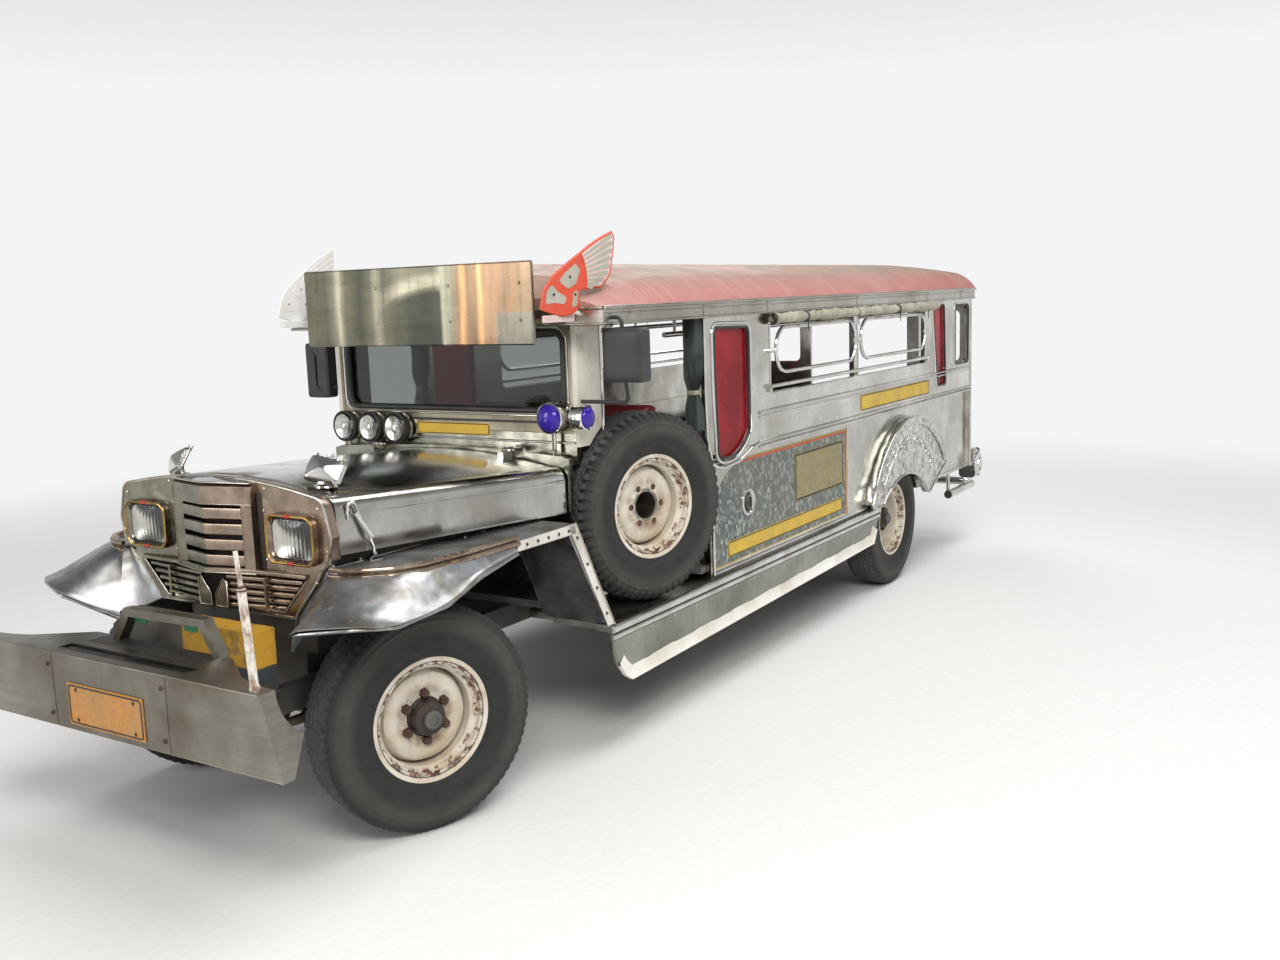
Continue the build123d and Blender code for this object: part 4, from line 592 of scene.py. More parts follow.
class Shape:
    """Points and faces of one piece, each face with the number of its material."""

    def __init__(self):
        self.points = []
        self.faces = []
        self.marks = []

    def add(self, points, faces, mark=0):
        """Faces that count from the first of these points."""
        base = len(self.points)
        self.points += [tuple(p) for p in points]
        self.faces += [tuple(base + i for i in face) for face in faces]
        self.marks += [mark] * len(faces)

    def skin(self, rings, ring_closed=True, way_closed=False, caps=True, mark=0):
        """Faces over rings that have like numbers of points."""
        n, m = len(rings[0]), len(rings)
        faces = []
        for i in range(m if way_closed else m - 1):
            for j in range(n if ring_closed else n - 1):
                a, b = i * n + j, i * n + (j + 1) % n
                c, d = ((i + 1) % m) * n + (j + 1) % n, ((i + 1) % m) * n + j
                faces.append((a, b, c, d))
        if caps and ring_closed and not way_closed:
            faces.append(tuple(range(n - 1, -1, -1)))
            faces.append(tuple((m - 1) * n + j for j in range(n)))
        self.add([p for ring in rings for p in ring], faces, mark)

    def sheet(self, rows):
        """An open grid of points."""
        self.skin(rows, ring_closed=False, caps=False)

    def box(self, x, y, z, mark=0):
        """A plain box, each side a pair of levels."""
        self.skin([[(x[i], y[0], z[0]), (x[i], y[1], z[0]), (x[i], y[1], z[1]), (x[i], y[0], z[1])]
                   for i in (0, 1)], mark=mark)

    def slab(self, axis, levels, outline):
        """A flat outline across the X or Y axis, thick from one level to the other."""
        self.skin([[(level, u, v) if axis == "x" else (u, level, v) for u, v in outline]
                   for level in levels])

    def tube(self, path, radius, sides=12, closed=False, mark=0):
        """Round bar along points, the radius one number or one for each point."""
        points = [Vector(p) for p in path]
        count = len(points)
        radii = radius if isinstance(radius, (list, tuple)) else [radius] * count
        rings = []
        side = None
        for i, here in enumerate(points):
            before = points[i - 1] if i or closed else here
            after = points[(i + 1) % count] if i < count - 1 or closed else here
            way = (after - before).normalized()
            if side is None:
                side = way.orthogonal().normalized()
            side = (side - way * side.dot(way)).normalized()
            up = way.cross(side)
            rings.append([here + radii[i] * (side * math.cos(a) + up * math.sin(a))
                          for a in (2 * math.pi * k / sides for k in range(sides))])
        self.skin(rings, way_closed=closed, mark=mark)

    def turned(self, profile, centre=(0, 0, 0), way=(0, 1, 0), steps=48, closed=False, mark=0):
        """A profile of (radius, place along the axis) turned about the axis."""
        way = Vector(way).normalized()
        side = way.orthogonal().normalized()
        up = way.cross(side)
        rings = []
        for k in range(steps):
            a = 2 * math.pi * k / steps
            out = side * math.cos(a) + up * math.sin(a)
            rings.append([Vector(centre) + out * r + way * t for r, t in profile])
        self.skin(rings, ring_closed=closed, way_closed=True, caps=False, mark=mark)

    def domes(self, places, way, radius, high, mark=0):
        """Rivet or bolt heads at places, all facing one way."""
        for place in places:
            self.turned([(radius, 0), (radius * 0.92, high * 0.55), (radius * 0.5, high), (0.01, high)],
                        place, way, 10, mark=mark)

    def piece(self, name, looks, body="root", bevel=0.0, smooth=35.0, place=None, slot=None):
        """The finished object, in the row frame."""
        mesh = bpy.data.meshes.new(name)
        own = place is not None
        points = [tuple(c * MM for c in p) if own else at(*p) for p in self.points]
        mesh.from_pydata(points, [], self.faces)
        for look in [looks] if isinstance(looks, str) else looks:
            mesh.materials.append(LOOKS[look])
        mesh.polygons.foreach_set("material_index", self.marks)
        tidy = bmesh.new()
        tidy.from_mesh(mesh)
        bmesh.ops.remove_doubles(tidy, verts=tidy.verts, dist=MERGE_M)
        bmesh.ops.recalc_face_normals(tidy, faces=tidy.faces)
        tidy.to_mesh(mesh)
        tidy.free()
        mesh.shade_smooth()
        mesh.set_sharp_from_angle(angle=math.radians(smooth))
        obj = linked(name, mesh, place)
        if bevel:
            round_edges(obj, bevel)
        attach(obj, body)
        return obj


def linked(name, data, place=None):
    """An object in the scene, moved to a place where one is given."""
    obj = bpy.data.objects.new(name, data)
    bpy.context.scene.collection.objects.link(obj)
    if place is not None:
        obj.matrix_world = place
    return obj


def span(side, one, two):
    """Two distances from the middle plane on one side, in rising order."""
    return sorted((side * one, side * two))


def round_edges(obj, width):
    """Soft edges of a given width in millimetres."""
    edge = obj.modifiers.new("soft_edge", "BEVEL")
    edge.width = width * MM
    edge.segments = 2
    edge.limit_method = "ANGLE"
    edge.angle_limit = math.radians(EDGE_ANGLE)
    edge.harden_normals = True


def dress(node, look, bevel=1.2):
    """A CAD node with its material, its edges softened."""
    obj = NODES[node]
    for slot in obj.material_slots:
        slot.material = LOOKS[look]
    if bevel:
        weld = obj.modifiers.new("joined_faces", "WELD")
        weld.merge_threshold = MERGE_M
        round_edges(obj, bevel)


def bent(points, radius, steps=6, closed=False):
    """Corner points with each corner turned into an arc."""
    made = []
    count = len(points)
    for i in range(count):
        here = Vector(points[i])
        if not closed and i in (0, count - 1):
            made.append(here)
            continue
        before, after = Vector(points[i - 1]), Vector(points[(i + 1) % count])
        back, on = (before - here).normalized(), (after - here).normalized()
        turn = back.angle(on)
        reach = min(radius / math.tan(turn / 2), 0.48 * (before - here).length,
                    0.48 * (after - here).length)
        for k in range(steps + 1):
            t = k / steps
            made.append((1 - t) ** 2 * (here + back * reach) + 2 * t * (1 - t) * here
                        + t * t * (here + on * reach))
    return made


def rounded(half_wide, half_high, corner, steps=6):
    """Corner points of a rounded rectangle, in order."""
    made = []
    for u, v, start in ((1, 1, 0), (-1, 1, 90), (-1, -1, 180), (1, -1, 270)):
        for k in range(steps + 1):
            a = math.radians(start + 90 * k / steps)
            made.append((u * (half_wide - corner) + corner * math.cos(a),
                         v * (half_high - corner) + corner * math.sin(a)))
    return made


# Wheels and tyres, in their own frame: axle along Y, outside at +Y


def tyre_mesh(name, lugs):
    """Revolved casing with a grooved tread; lugs cut deep notches into its shoulders."""
    around = 360
    wall = [(BEAD_R + 0.5, 76), (214, 80), (226, 84.5), (233, 86), (236, 89), (241, 88.5), (246, 92),
            (262, 97), (282, 100.6), (300, 102.2), (318, 102.4), (336, 101.2), (350, 98.8), (352, 99.8),
            (356, 99.2), (358, 97.4), (370, 94.2), (372, 95.0), (375, 94.2), (382, 90.4), (388, 87.4),
            (393, 84.0), (397, 79.6), (400, 75.0), (402, 70.5)]
    columns = 44
    tread_half = 68.0
    profile = [(r, y) for r, y in wall]
    for i in range(columns + 1):
        y = tread_half - 2 * tread_half * i / columns
        profile.append((TYRE_R - 2.2 * (y / tread_half) ** 2, y))
    profile += [(r, -y) for r, y in reversed(wall)]
    profile = np.array(profile)
    r0, y0 = profile[:, 0][None, :], profile[:, 1][None, :]
    turn = (np.arange(around) * 2 * np.pi / around)[:, None]
    count = 60 if lugs else 72
    phase = (turn * count / (2 * np.pi)) % 1.0
    zig = 2 * np.abs(2 * phase - 1) - 1
    sink = np.zeros((around, len(profile)))
    on_tread = np.abs(y0) <= 71
    grooves = (-34, 0, 34) if lugs else (-40, -14, 14, 40)
    for line in grooves:
        gap = np.abs(y0 - line - zig * (6.0 if lugs else 3.5))
        sink = np.maximum(sink, np.clip(1.6 - gap / 3.2, 0, 1) * (9.0 if lugs else 5.5) * on_tread)
    slot = (phase > 0.5) & (np.abs(y0) > (48 if lugs else 60)) & (r0 > (366 if lugs else 391))
    sink = np.maximum(sink, slot * (9.0 if lugs else 4.0))
    sipe = (np.abs(phase - 0.25) < 0.09) & (np.abs(y0) < 50) & on_tread
    sink = np.maximum(sink, sipe * 2.5)
    r = r0 - sink
    side = np.where(np.abs(y0) > 80, sink * 0.3, 0.0)
    y = y0 - np.sign(y0) * side + 0 * r
    points = np.stack([r * np.cos(turn), y, r * np.sin(turn)], -1).reshape(-1, 3) * MM
    n = len(profile)
    i, j = np.meshgrid(np.arange(around), np.arange(n - 1), indexing="ij")
    after = (i + 1) % around
    faces = np.stack([i * n + j, i * n + j + 1, after * n + j + 1, after * n + j], -1).reshape(-1, 4)
    mesh = bpy.data.meshes.new(name)
    mesh.from_pydata(points.tolist(), [], faces[:, ::-1].tolist())
    mesh.materials.append(LOOKS["tyre"])
    mesh.shade_smooth()
    mesh.set_sharp_from_angle(angle=math.radians(38))
    return mesh


def rim_shape(disc_out, holes):
    """Barrel with flanges and lock ring groove, and the dished disc."""
    shape = Shape()
    h = RIM_HALF
    outer = [(BEAD_R - 7, h - 46), (BEAD_R - 7, h - 14), (196, h - 7), (199, h - 5), (203, h - 5.5),
             (204.5, h - 8.5), (206, h - 8.5), (207.5, h - 4), (212, h - 2), (222, h - 0.6), (228, h),
             (232, h - 1.5), (233.5, h - 4), (232, h - 7), (BEAD_R + 1, h - 8), (BEAD_R, h - 30),
             (DROP_R, h - 46)]
    across = outer + [(r, -y) for r, y in reversed(outer)] + [(DROP_R - 7, 46 - h)]
    shape.turned(across, steps=96, closed=True)
    sign = 1 if disc_out > 0 else -1
    lip = disc_out - sign * 34
    face = [(HUB_BORE_R, disc_out - 9), (HUB_BORE_R, disc_out - 2), (HUB_BORE_R + 2, disc_out),
            (105, disc_out + 0.5), (112, disc_out + 2.5), (126, disc_out + 4), (142, disc_out + 1),
            (156, disc_out - 7 * sign), (166, lip + sign * 4), (169, lip - sign * 4),
            (168, lip - sign * 15), (160, lip - sign * 4 - 9), (142, disc_out - 10), (110, disc_out - 11)]
    rings = []
    for k in range(96):
        a = 2 * math.pi * k / 96
        ring = []
        for r, y in face:
            swell = 5.5 * math.cos(STUDS * a) * math.exp(-((r - 133) / 13) ** 2)
            ring.append((r * math.cos(a), y - swell, r * math.sin(a)))
        rings.append(ring)
    shape.skin(rings, way_closed=True, caps=False)
    if holes:
        for i in range(STUDS):
            a = 2 * math.pi * i / STUDS
            x, z = STUD_R * math.cos(a), STUD_R * math.sin(a)
            shape.turned([(22, 0.6), (20, 2.6), (15, 2.9), (13.5, 1.2)], (x, disc_out, z), steps=20, mark=1)
            shape.turned([(13.8, 1.4), (0.01, 1.0)], (x, disc_out, z), steps=20, mark=2)
    shape.tube([(0, h - 2, -190), (0, h + 12, -186), (0, h + 26, -176)], [5, 4.5, 4], 8, mark=2)
    return shape


def hub_shape(disc_out, drum_in, reach):
    """Drum behind the disc, dark hub, grey cap, rusty nuts and stud ends."""
    shape = Shape()
    shape.turned([(40, drum_in), (148, drum_in), (150, drum_in + 4), (150, disc_out - 16),
                  (146, disc_out - 12), (60, disc_out - 12)], steps=64)
    end = disc_out + reach
    shape.turned([(68, disc_out - 10), (68, disc_out + 3), (64, disc_out + 6), (62, end - 8),
                  (58, end - 2), (36, end), (34, end + 1)], steps=48)
    shape.turned([(34, end - 2), (34, end + 18), (31, end + 22), (18, end + 24), (17, end + 21),
                  (0.01, end + 21)], steps=32, mark=1)
    for i in range(STUDS):
        a = 2 * math.pi * (i + 0.5) / STUDS
        x, z = STUD_R * math.cos(a), STUD_R * math.sin(a)
        nut = [(0.01, disc_out + 24), (8, disc_out + 24), (8, disc_out + 20), (13, disc_out + 20),
               (16.5, disc_out + 17), (17, disc_out + 3), (20, disc_out), (19, disc_out - 1)]
        shape.turned(nut, (x, 0, z), steps=6, mark=2)
    if reach == REAR_HUB:
        end -= 34
        shape.turned([(60, end - 8), (74, end - 6), (75, end + 6), (70, end + 9), (60, end + 10)], steps=40)
        for i in range(8):
            a = 2 * math.pi * i / 8
            shape.turned([(0.01, end + 27), (7, end + 27), (8, end + 22), (11, end + 20), (11, end + 8)],
                         (66 * math.cos(a), 0, 66 * math.sin(a)), steps=6, mark=2)
    return shape


def tyre_and_rim(names, nodes, tyre, disc, middle, out, body="root"):
    """Tyre and rim at a place, their own Y pointing out of the vehicle."""
    up = Vector((0, 0, 1))
    place = Matrix.Translation(middle) @ Matrix((out.cross(up), out, up)).transposed().to_4x4()
    rubber_ring = linked(names[0], tyre, place)
    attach(rubber_ring, body)
    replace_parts(rubber_ring, nodes[0])
    rim = rim_shape(disc, body == "root").piece(names[1], ["wheel", "wheel", "rust"], body, place=place,
                                                slot="wheel_paint")
    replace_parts(rim, nodes[1])
    return place


def wheels():
    """Four road wheels on their hubs, and the spare one."""
    road = tyre_mesh("road_tyre", False)
    for tag, outward in (("fl", 1), ("fr", -1), ("rl", 1), ("rr", -1)):
        disc, drum, reach = ((FRONT_DISC, FRONT_DRUM, FRONT_HUB) if tag[0] == "f" else
                             (REAR_DISC, REAR_DRUM, REAR_HUB))
        joint = JOINTS["spin_" + tag]
        names, nodes = (f"tyre_{tag}_rubber", "rim_" + tag), ("tyre_" + tag, "wheel_" + tag)
        out = (Vector(joint["axis"]) * outward).normalized()
        place = tyre_and_rim(names, nodes, road, disc, Vector(joint["pos_m"]), out, nodes[1])
        hub_shape(disc, drum, reach).piece("hub_" + tag, ["hub_dark", "hub_cap", "rust"], "wheel_" + tag,
                                           place=place, smooth=30)
    low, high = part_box("spare_tyre")
    tyre_and_rim(("spare_rubber", "spare_rim"), ("spare_tyre", "spare_wheel"), tyre_mesh("lug_tyre", True),
                 FRONT_DISC, (low + high) / 2, Vector((math.sin(SPARE_TURN), math.cos(SPARE_TURN), 0)))


# Front end


# Front end


def head_lamp(side):
    """Brass bead with two red marks, dark bezel, reflector and ribbed lens."""
    tag = TAGS[side]
    y0, x0 = side * LAMP_Y, FACE_X
    half_wide, half_high = LAMP_WIDE / 2, LAMP_HIGH / 2
    bead = Shape()
    rect = rounded(half_wide - 6, half_high - 6, 36)
    bead.tube([(x0 + 22, y0 + u, LAMP_Z + v) for u, v in rect], 5.2, 10, closed=True)
    for v in (1, -1):
        z = LAMP_Z + v * (half_high - 6)
        bead.tube([(x0 + 22, y0 - 13, z), (x0 + 22, y0 + 13, z)], 7.2, 10, mark=1)
    bead.piece("lamp_bead_" + tag, ["brass", "red_mark"])
    bezel = Shape()
    levels = ((1, -1, 38), (24, -5, 36), (24, -10, 33), (12, -19, 28), (4, -22, 26))
    bezel.skin([[(x0 + x, y0 + u, LAMP_Z + v) for u, v in rounded(half_wide + d, half_high + d, c)]
                for x, d, c in levels], caps=False)
    bezel.piece("lamp_bezel_" + tag, "face_steel", smooth=50)
    bowl = Shape()
    rings = []
    for k in range(7):
        s = k / 6
        share = 1 - 0.55 * s * s
        rings.append([(x0 + 2 - 58 * math.sin(s * math.pi / 2), y0 + u, LAMP_Z + v) for u, v in
                      rounded((half_wide - 22) * share, (half_high - 22) * share, 24 * (1 - 0.5 * s))])
    bowl.skin(rings)
    bowl.turned([(14, 0), (12, 14), (0.01, 18)], (x0 - 52, y0, LAMP_Z), (1, 0, 0), 20)
    bowl.piece("lamp_bowl_" + tag, "chrome", smooth=40)
    lens = Shape()
    wide, high = half_wide - 20.5, half_high - 20.5
    for level in (1.0, 0.0):
        grid = []
        for j in range(15):
            v = (2 * j / 14 - 1) * high
            row = []
            for i in range(45):
                u = (2 * i / 44 - 1) * wide
                dome = 11 * (1 - (u / wide) ** 2) * (1 - (v / high) ** 2)
                rib = 1.3 * abs(math.sin(i * math.pi / 4)) * level
                row.append((x0 + 5 + 4 * level + dome + rib, y0 + u, LAMP_Z + v))
            grid.append(row)
        lens.sheet(grid)
    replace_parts(lens.piece("lamp_lens_" + tag, "lens", smooth=60, slot="lamp_glass"), "head_lamps")


def hood_latch(side):
    """Sprung clip from the hood's side down to the fender shelf."""
    tag = TAGS[side]
    shape = Shape()
    wire = ((240, 527, 1132), (242, 537, 1186), (220, 541, 1192), (150, 554, 1026), (150, 548, 996))
    shape.tube(bent([(x, side * y, z) for x, y, z in wire], 14, 4), 6, 10)
    shape.tube([(214, side * 537, 1152), (164, side * 558, 1062)], 11, 12)
    shape.box((120, 180), span(side, 480, 560), (975, 982))
    shape.tube([(150, side * 520, 980), (150, side * 556, 1004)], 8, 8)
    shape.domes([(x, side * 500, 982) for x in (132, 168)], (0, 0, 1), 6, 4)
    shape.piece("hood_latch_" + tag, "chrome", bevel=0.8)


def curve(start, *steps, count=10):
    """Flat points along corners. A step is the next corner, or (via, end) for an arc."""
    made = [start]
    for step in steps:
        if not isinstance(step[0], tuple):
            made.append(step)
            continue
        (x1, y1), (x2, y2), (x3, y3) = made[-1], step[0], step[1]
        d = 2 * (x1 * (y2 - y3) + x2 * (y3 - y1) + x3 * (y1 - y2))
        s1, s2, s3 = x1 * x1 + y1 * y1, x2 * x2 + y2 * y2, x3 * x3 + y3 * y3
        cx = (s1 * (y2 - y3) + s2 * (y3 - y1) + s3 * (y1 - y2)) / d
        cy = (s1 * (x3 - x2) + s2 * (x1 - x3) + s3 * (x2 - x1)) / d
        r = math.hypot(x1 - cx, y1 - cy)
        a, b, c = (math.atan2(y - cy, x - cx) for x, y in ((x1, y1), (x2, y2), (x3, y3)))
        full = 2 * math.pi
        to_end = (c - a) % full
        if (b - a) % full > to_end:
            to_end -= full
        made += [(cx + r * math.cos(a + to_end * k / count), cy + r * math.sin(a + to_end * k / count))
                 for k in range(1, count + 1)]
    return made


def normals(path, closed):
    """Sideways unit vectors of a flat path, at its points."""
    count = len(path)
    made = []
    for i in range(count):
        x0, y0 = path[i - 1] if i or closed else path[i]
        x1, y1 = path[(i + 1) % count] if i < count - 1 or closed else path[i]
        size = math.hypot(x1 - x0, y1 - y0) or 1.0
        made.append(((y1 - y0) / size, -(x1 - x0) / size))
    return made


def offset(path, out):
    """A closed flat path moved outward; it runs anticlockwise for a positive move."""
    area = sum(a[0] * b[1] - b[0] * a[1] for a, b in zip(path, path[1:] + path[:1]))
    way = 1 if area > 0 else -1
    return [(x + way * out * nx, y + way * out * ny) for (x, y), (nx, ny) in zip(path, normals(path, True))]


def strip(shape, path, wide, levels, side=1, closed=False, mark=0):
    """A flat band along a path of (x, z), its two faces at the levels along Y."""
    rings = []
    for (x, z), (nx, nz) in zip(path, normals(path, closed)):
        rings.append([(x + nx * w, side * level, z + nz * w) for w, level in
                      ((wide / 2, levels[0]), (wide / 2, levels[1]), (-wide / 2, levels[1]),
                       (-wide / 2, levels[0]))])
    shape.skin(rings, way_closed=closed, mark=mark)


def along(path, y):
    """A flat path of (x, z) at one place across."""
    return [(x, y, z) for x, z in path]


def face_trim():
    """Rolled edge of the face, bright lips on the grille's slats and the flange behind it."""
    shape = Shape()
    edge = curve((-551, LAMP_Z + 16), (-530, 1174), ((-514, 1208), (-480, 1222)), ((0, 1268), (480, 1222)),
                 ((514, 1208), (530, 1174)), (551, LAMP_Z + 16), (539, 1013), (350, 795), (-350, 795),
                 (-539, 1013))
    shape.tube([(FACE_X - 2, y, z) for y, z in offset(edge, -3)], 5.5, 8, closed=True)
    for side in (1, -1):
        shape.domes([(FACE_X, side * y, z) for y, z in ((498, 1182), (250, 1236), (532, 1040), (470, 930),
                                                         (238, 1160), (238, 990))], (1, 0, 0), 6, 3.5)
    shape.piece("face_trim", "bead_steel")
    inner = curve((-496, 1000), (-496, 1148), ((-484, 1179), (-444, 1189)), ((0, 1243), (444, 1189)),
                  ((484, 1179), (496, 1148)), (496, 1000))
    flange = Shape()
    for shrink, drop in ((1.0, 0), (0.994, 3)):
        flange.sheet([[(x, y * shrink, z - drop) for y, z in inner] for x in (299.5, 252)])
    flange.piece("face_flange", "face_steel")


# Edge of the left fender: shelf X, shelf Y, lip X, lip Y, lip Z. Then a bolt head's profile
FLARE = ((-330, 790, -300, 812, 936), (-60, 788, -60, 838, 905), (150, 770, 150, 868, 858),
         (255, 725, 400, 872, 846), (315, 655, 520, 790, 858), (345, 590, 575, 610, 836),
         (345, 545, 450, 455, 735))
BOLT = [(7, 0), (6.5, 4), (4, 6), (0.01, 6)]


def fender_trim(side):
    """Rolled rusty beads, lip wire, painted underside, and the bolted white flange."""
    tag = TAGS[side]
    beads = Shape()
    shelf = [(x, side * y) for x, y, _, _, _ in FLARE]
    line = bent([(x, y, 0) for x, y in shelf], 60, 5)
    for out, z, r in ((1.0, 985, 9.5), (7.0, 963, 9.0), (-6.0, 974, 7.0)):
        flat = [(p.x, p.y) for p in line]
        moved = [(x - side * out * nx, y - side * out * ny) for (x, y), (nx, ny) in
                 zip(flat, normals(flat, False))]
        beads.tube([(x, y, z) for x, y in moved], r, 10)
    beads.piece("fender_bead_" + tag, "rusty_steel")
    lips = Shape()
    lips.tube(bent([(x, side * y, z - 5) for _, _, x, y, z in FLARE], 60, 5), 6.5, 8)
    lips.piece("fender_lip_" + tag, "fender_steel")
    under = Shape()
    under.sheet([[(sx, side * sy, FENDER_TOP - 13), (lx, side * (ly - 1), lz - 13)]
                 for sx, sy, lx, ly, lz in FLARE])
    under.sheet([[(-680, side * y, FENDER_TOP - 13), (299, side * y, FENDER_TOP - 13)] for y in (484, 540)])
    under.sheet([[(-680, side * y, FENDER_TOP - 13.2), (-330, side * y, FENDER_TOP - 13.2)]
                 for y in (530, 776)])
    under.piece("fender_under_" + tag, "teal", smooth=60)
    flange = Shape()

    def place(x, z, out=0.0):
        return (x, side * (790 + (972 - z) * 59 / 438 + out), z)

    top = [(-300, 968, 935), (-480, 969, 934), (-686, 971, 934)]
    flange.skin([[place(x, hi, 0.6), place(x, hi, 3.5), place(x, lo, 3.5), place(x, lo, 0.6)]
                 for x, hi, lo in top])
    down = [(-688, -645, 968), (-740, -697, 826), (-790, -748, 689), (-844, -804, 541)]
    flange.skin([[place(a, z, 0.6), place(a, z, 3.5), place(b, z, 3.5), place(b, z, 0.6)]
                 for a, b, z in down])
    bolts = [(x, 951) for x in range(-640, -300, 66)]
    bolts += [(-668 - 155 * share, 968 - 427 * share) for share in (0.12, 0.38, 0.62, 0.88)]
    for x, z in bolts:
        flange.turned(BOLT, place(x, z, 3.5), (0, side, 0), 6, mark=1)
    flange.piece("fender_flange_" + tag, ["white_edge", "rust"], bevel=0.8)
    seam = Shape()
    seam.tube([(x, side * 500, 974) for x in (-680, -300, 100, 296)], 4, 8)
    seam.domes([(x, side * 560, 972) for x in range(-640, 240, 110)], (0, 0, 1), 6, 3)
    seam.tube([place(-690, 975, 2), place(-850, 538, 2)], 5, 8)
    seam.piece("fender_seam_" + tag, "bead_steel")


def hood_trim(side):
    """Faceted bright wedge on a round foot, and the rolled lower edge of the lid."""
    tag = TAGS[side]
    turn = Matrix.Rotation(math.radians(-35), 4, "Y") @ Matrix.Rotation(math.radians(25 * side), 4, "Z")
    place = Matrix.Translation(at(190, side * 385, 1284)) @ turn
    wedge = Shape()
    levels = ((-13, 64, 46, 20), (-6, 68, 50, 16), (10, 60, 42, 12), (26, 30, 20, 6), (33, 10, 6, 3))
    wedge.skin([[(x, u, v) for u, v in rounded(a, b, c, 2)] for x, a, b, c in levels])
    for k in range(5):
        u = -44 + 22 * k
        wedge.tube([(-10, u, 40), (-14, u * 1.25, 74 - abs(u) * 0.3)], [8, 2.5], 6)
    wedge.piece("hood_crest_" + tag, "chrome", "hood", place=place, smooth=12, bevel=0.8)
    edge = Shape()
    edge.turned([(40, 0), (38, 6), (26, 10), (18, 13), (16, 24)], (190, side * 385, 1228), (0, 0, 1), 24)
    edge.tube([(HOOD_FRONT - 20, side * 517, 1021), (HOOD_BACK + 4, side * 637, 979)], 4.5, 8)
    edge.tube([(HOOD_FRONT - 14, side * 519.6, 1150), (HOOD_BACK + 4, side * 639.6, 1102)], 2.5, 8)
    edge.piece("hood_edge_" + tag, "chrome", "hood")


def screen_trim():
    """Black gasket round the glass, dark strip over the plinth and the bolted hinge plates."""
    mid, half = (GLASS_LOW + GLASS_TOP) / 2, (GLASS_TOP - GLASS_LOW) / 2
    shape = Shape()
    for x in (SCREEN_FRONT + 1, SCREEN_BACK - 1):
        rings = []
        for grow, out in ((-10, -16), (-9, 4), (0, 9), (10, 7), (13, 0)):
            level = x + out if x == SCREEN_FRONT + 1 else x - out
            ring = rounded(GLASS_HALF + grow, half + grow, 45 + grow)
            rings.append([(level, u, mid + v) for u, v in ring])
        shape.skin(rings, caps=False)
    shape.box((SCREEN_FRONT, SCREEN_FRONT + 2), (-640, 640), (1328, 1338))
    shape.piece("screen_gasket", "gasket", smooth=60)
    trim = Shape()
    ring = rounded(GLASS_HALF + 22, half + 22, 62)
    trim.tube([(SCREEN_FRONT + 1, u, mid + v) for u, v in ring], 5, 8, closed=True)
    trim.tube([(SCREEN_FRONT + 3, -650, 1252), (SCREEN_FRONT + 3, 650, 1252)], 5, 8)
    board = rounded(199, 22, 5, 2)
    trim.tube([(SCREEN_FRONT + 3.4, 3.5 + u, 1294 + v) for u, v in board], 1.8, 6, closed=True, mark=2)
    for side in (1, -1):
        for z in (1345, 1620):
            trim.box((-962, -918), span(side, 672.5, 676), (z, z + 70), mark=1)
            trim.domes([(-940 + u, side * 676, z + w) for u in (-12, 12) for w in (14, 56)], (0, side, 0),
                       5, 3, mark=1)
        trim.tube([(-1083, side * 676, 1280), (-1083, side * 676, 1726)], 6, 8)
    trim.piece("screen_trim", ["chrome", "cream", "hub_dark"], bevel=0.5)


# Small lamps and bumper


def round_lamp(name, centre, way, radius, lens, deep):
    """Rim, faceted reflector and domed lens in front of a lamp body."""
    shape = Shape()
    shape.turned([(radius + 3, -22), (radius + 5, -4), (radius + 4, 8), (radius - 1, 11), (radius - 5, 7),
                  (radius - 6, 0)], centre, way, 48)
    shape.turned([(radius - 6, 1), (radius * 0.62, 0.6), (radius * 0.60, 3), (radius * 0.36, 1.5),
                  (radius * 0.33, 6), (0.01, 9)], centre, way, 12, mark=1)
    shape.turned([(radius * 0.3, 2), (radius * 0.22, 12), (0.01, 15)], centre, way, 10, mark=1)
    shape.piece(name + "_rim", ["gasket" if lens == "lens" else "chrome", "chrome"], smooth=18)
    dome = Shape()
    curve_points = [((radius - 5) * math.cos(a), 6 + deep * math.sin(a)) for a in
                    (math.pi / 2 * k / 8 for k in range(9))]
    dome.turned([(max(r, 0.01), t) for r, t in curve_points], centre, way, 40)
    dome.piece(name + "_lens", lens, smooth=60, slot="lamp_glass" if lens == "lens" else None)


def small_lamps():
    """Three spot lamps, two side lamps and the tail lamps."""
    for number, y in enumerate((-595, -440, -285), 1):
        round_lamp(f"spot_lamp_{number}", (-866, y, 1292), (1, 0, 0), 66, "lens", 16)
    round_lamp("side_lamp_front", (-866, 565, 1356), (1, 0, 0), 60, "purple", 34)
    round_lamp("side_lamp_left", (-888, 724, 1362), (0, 1, 0), 48, "purple", 26)
    for side, tag in TAGS.items():
        shape = Shape()
        shape.turned([(84, 0), (82, 10), (66, 14), (60, 8), (40, 12), (36, 20), (0.01, 24)],
                     (-5585, side * 880, 551), (0, side, 0), 8)
        shape.skin([[(-5637 - out, side * 820 + u, 551 + v) for u, v in rounded(60 - d, 105 - d, 22)]
                    for out, d in ((0, 0), (9, 4), (9, 16))], caps=False)
        shape.piece("tail_bezel_" + tag, "chrome", smooth=20, bevel=1.0)
        lens = Shape()
        lens.skin([[(-5638 - out, side * 820 + u, 551 + v) for u, v in rounded(46 - d, 91 - d, 16)]
                   for out, d in ((0, 0), (12, 2), (15, 10), (12, 30))])
        lens.piece("tail_lens_" + tag, "amber", smooth=50)


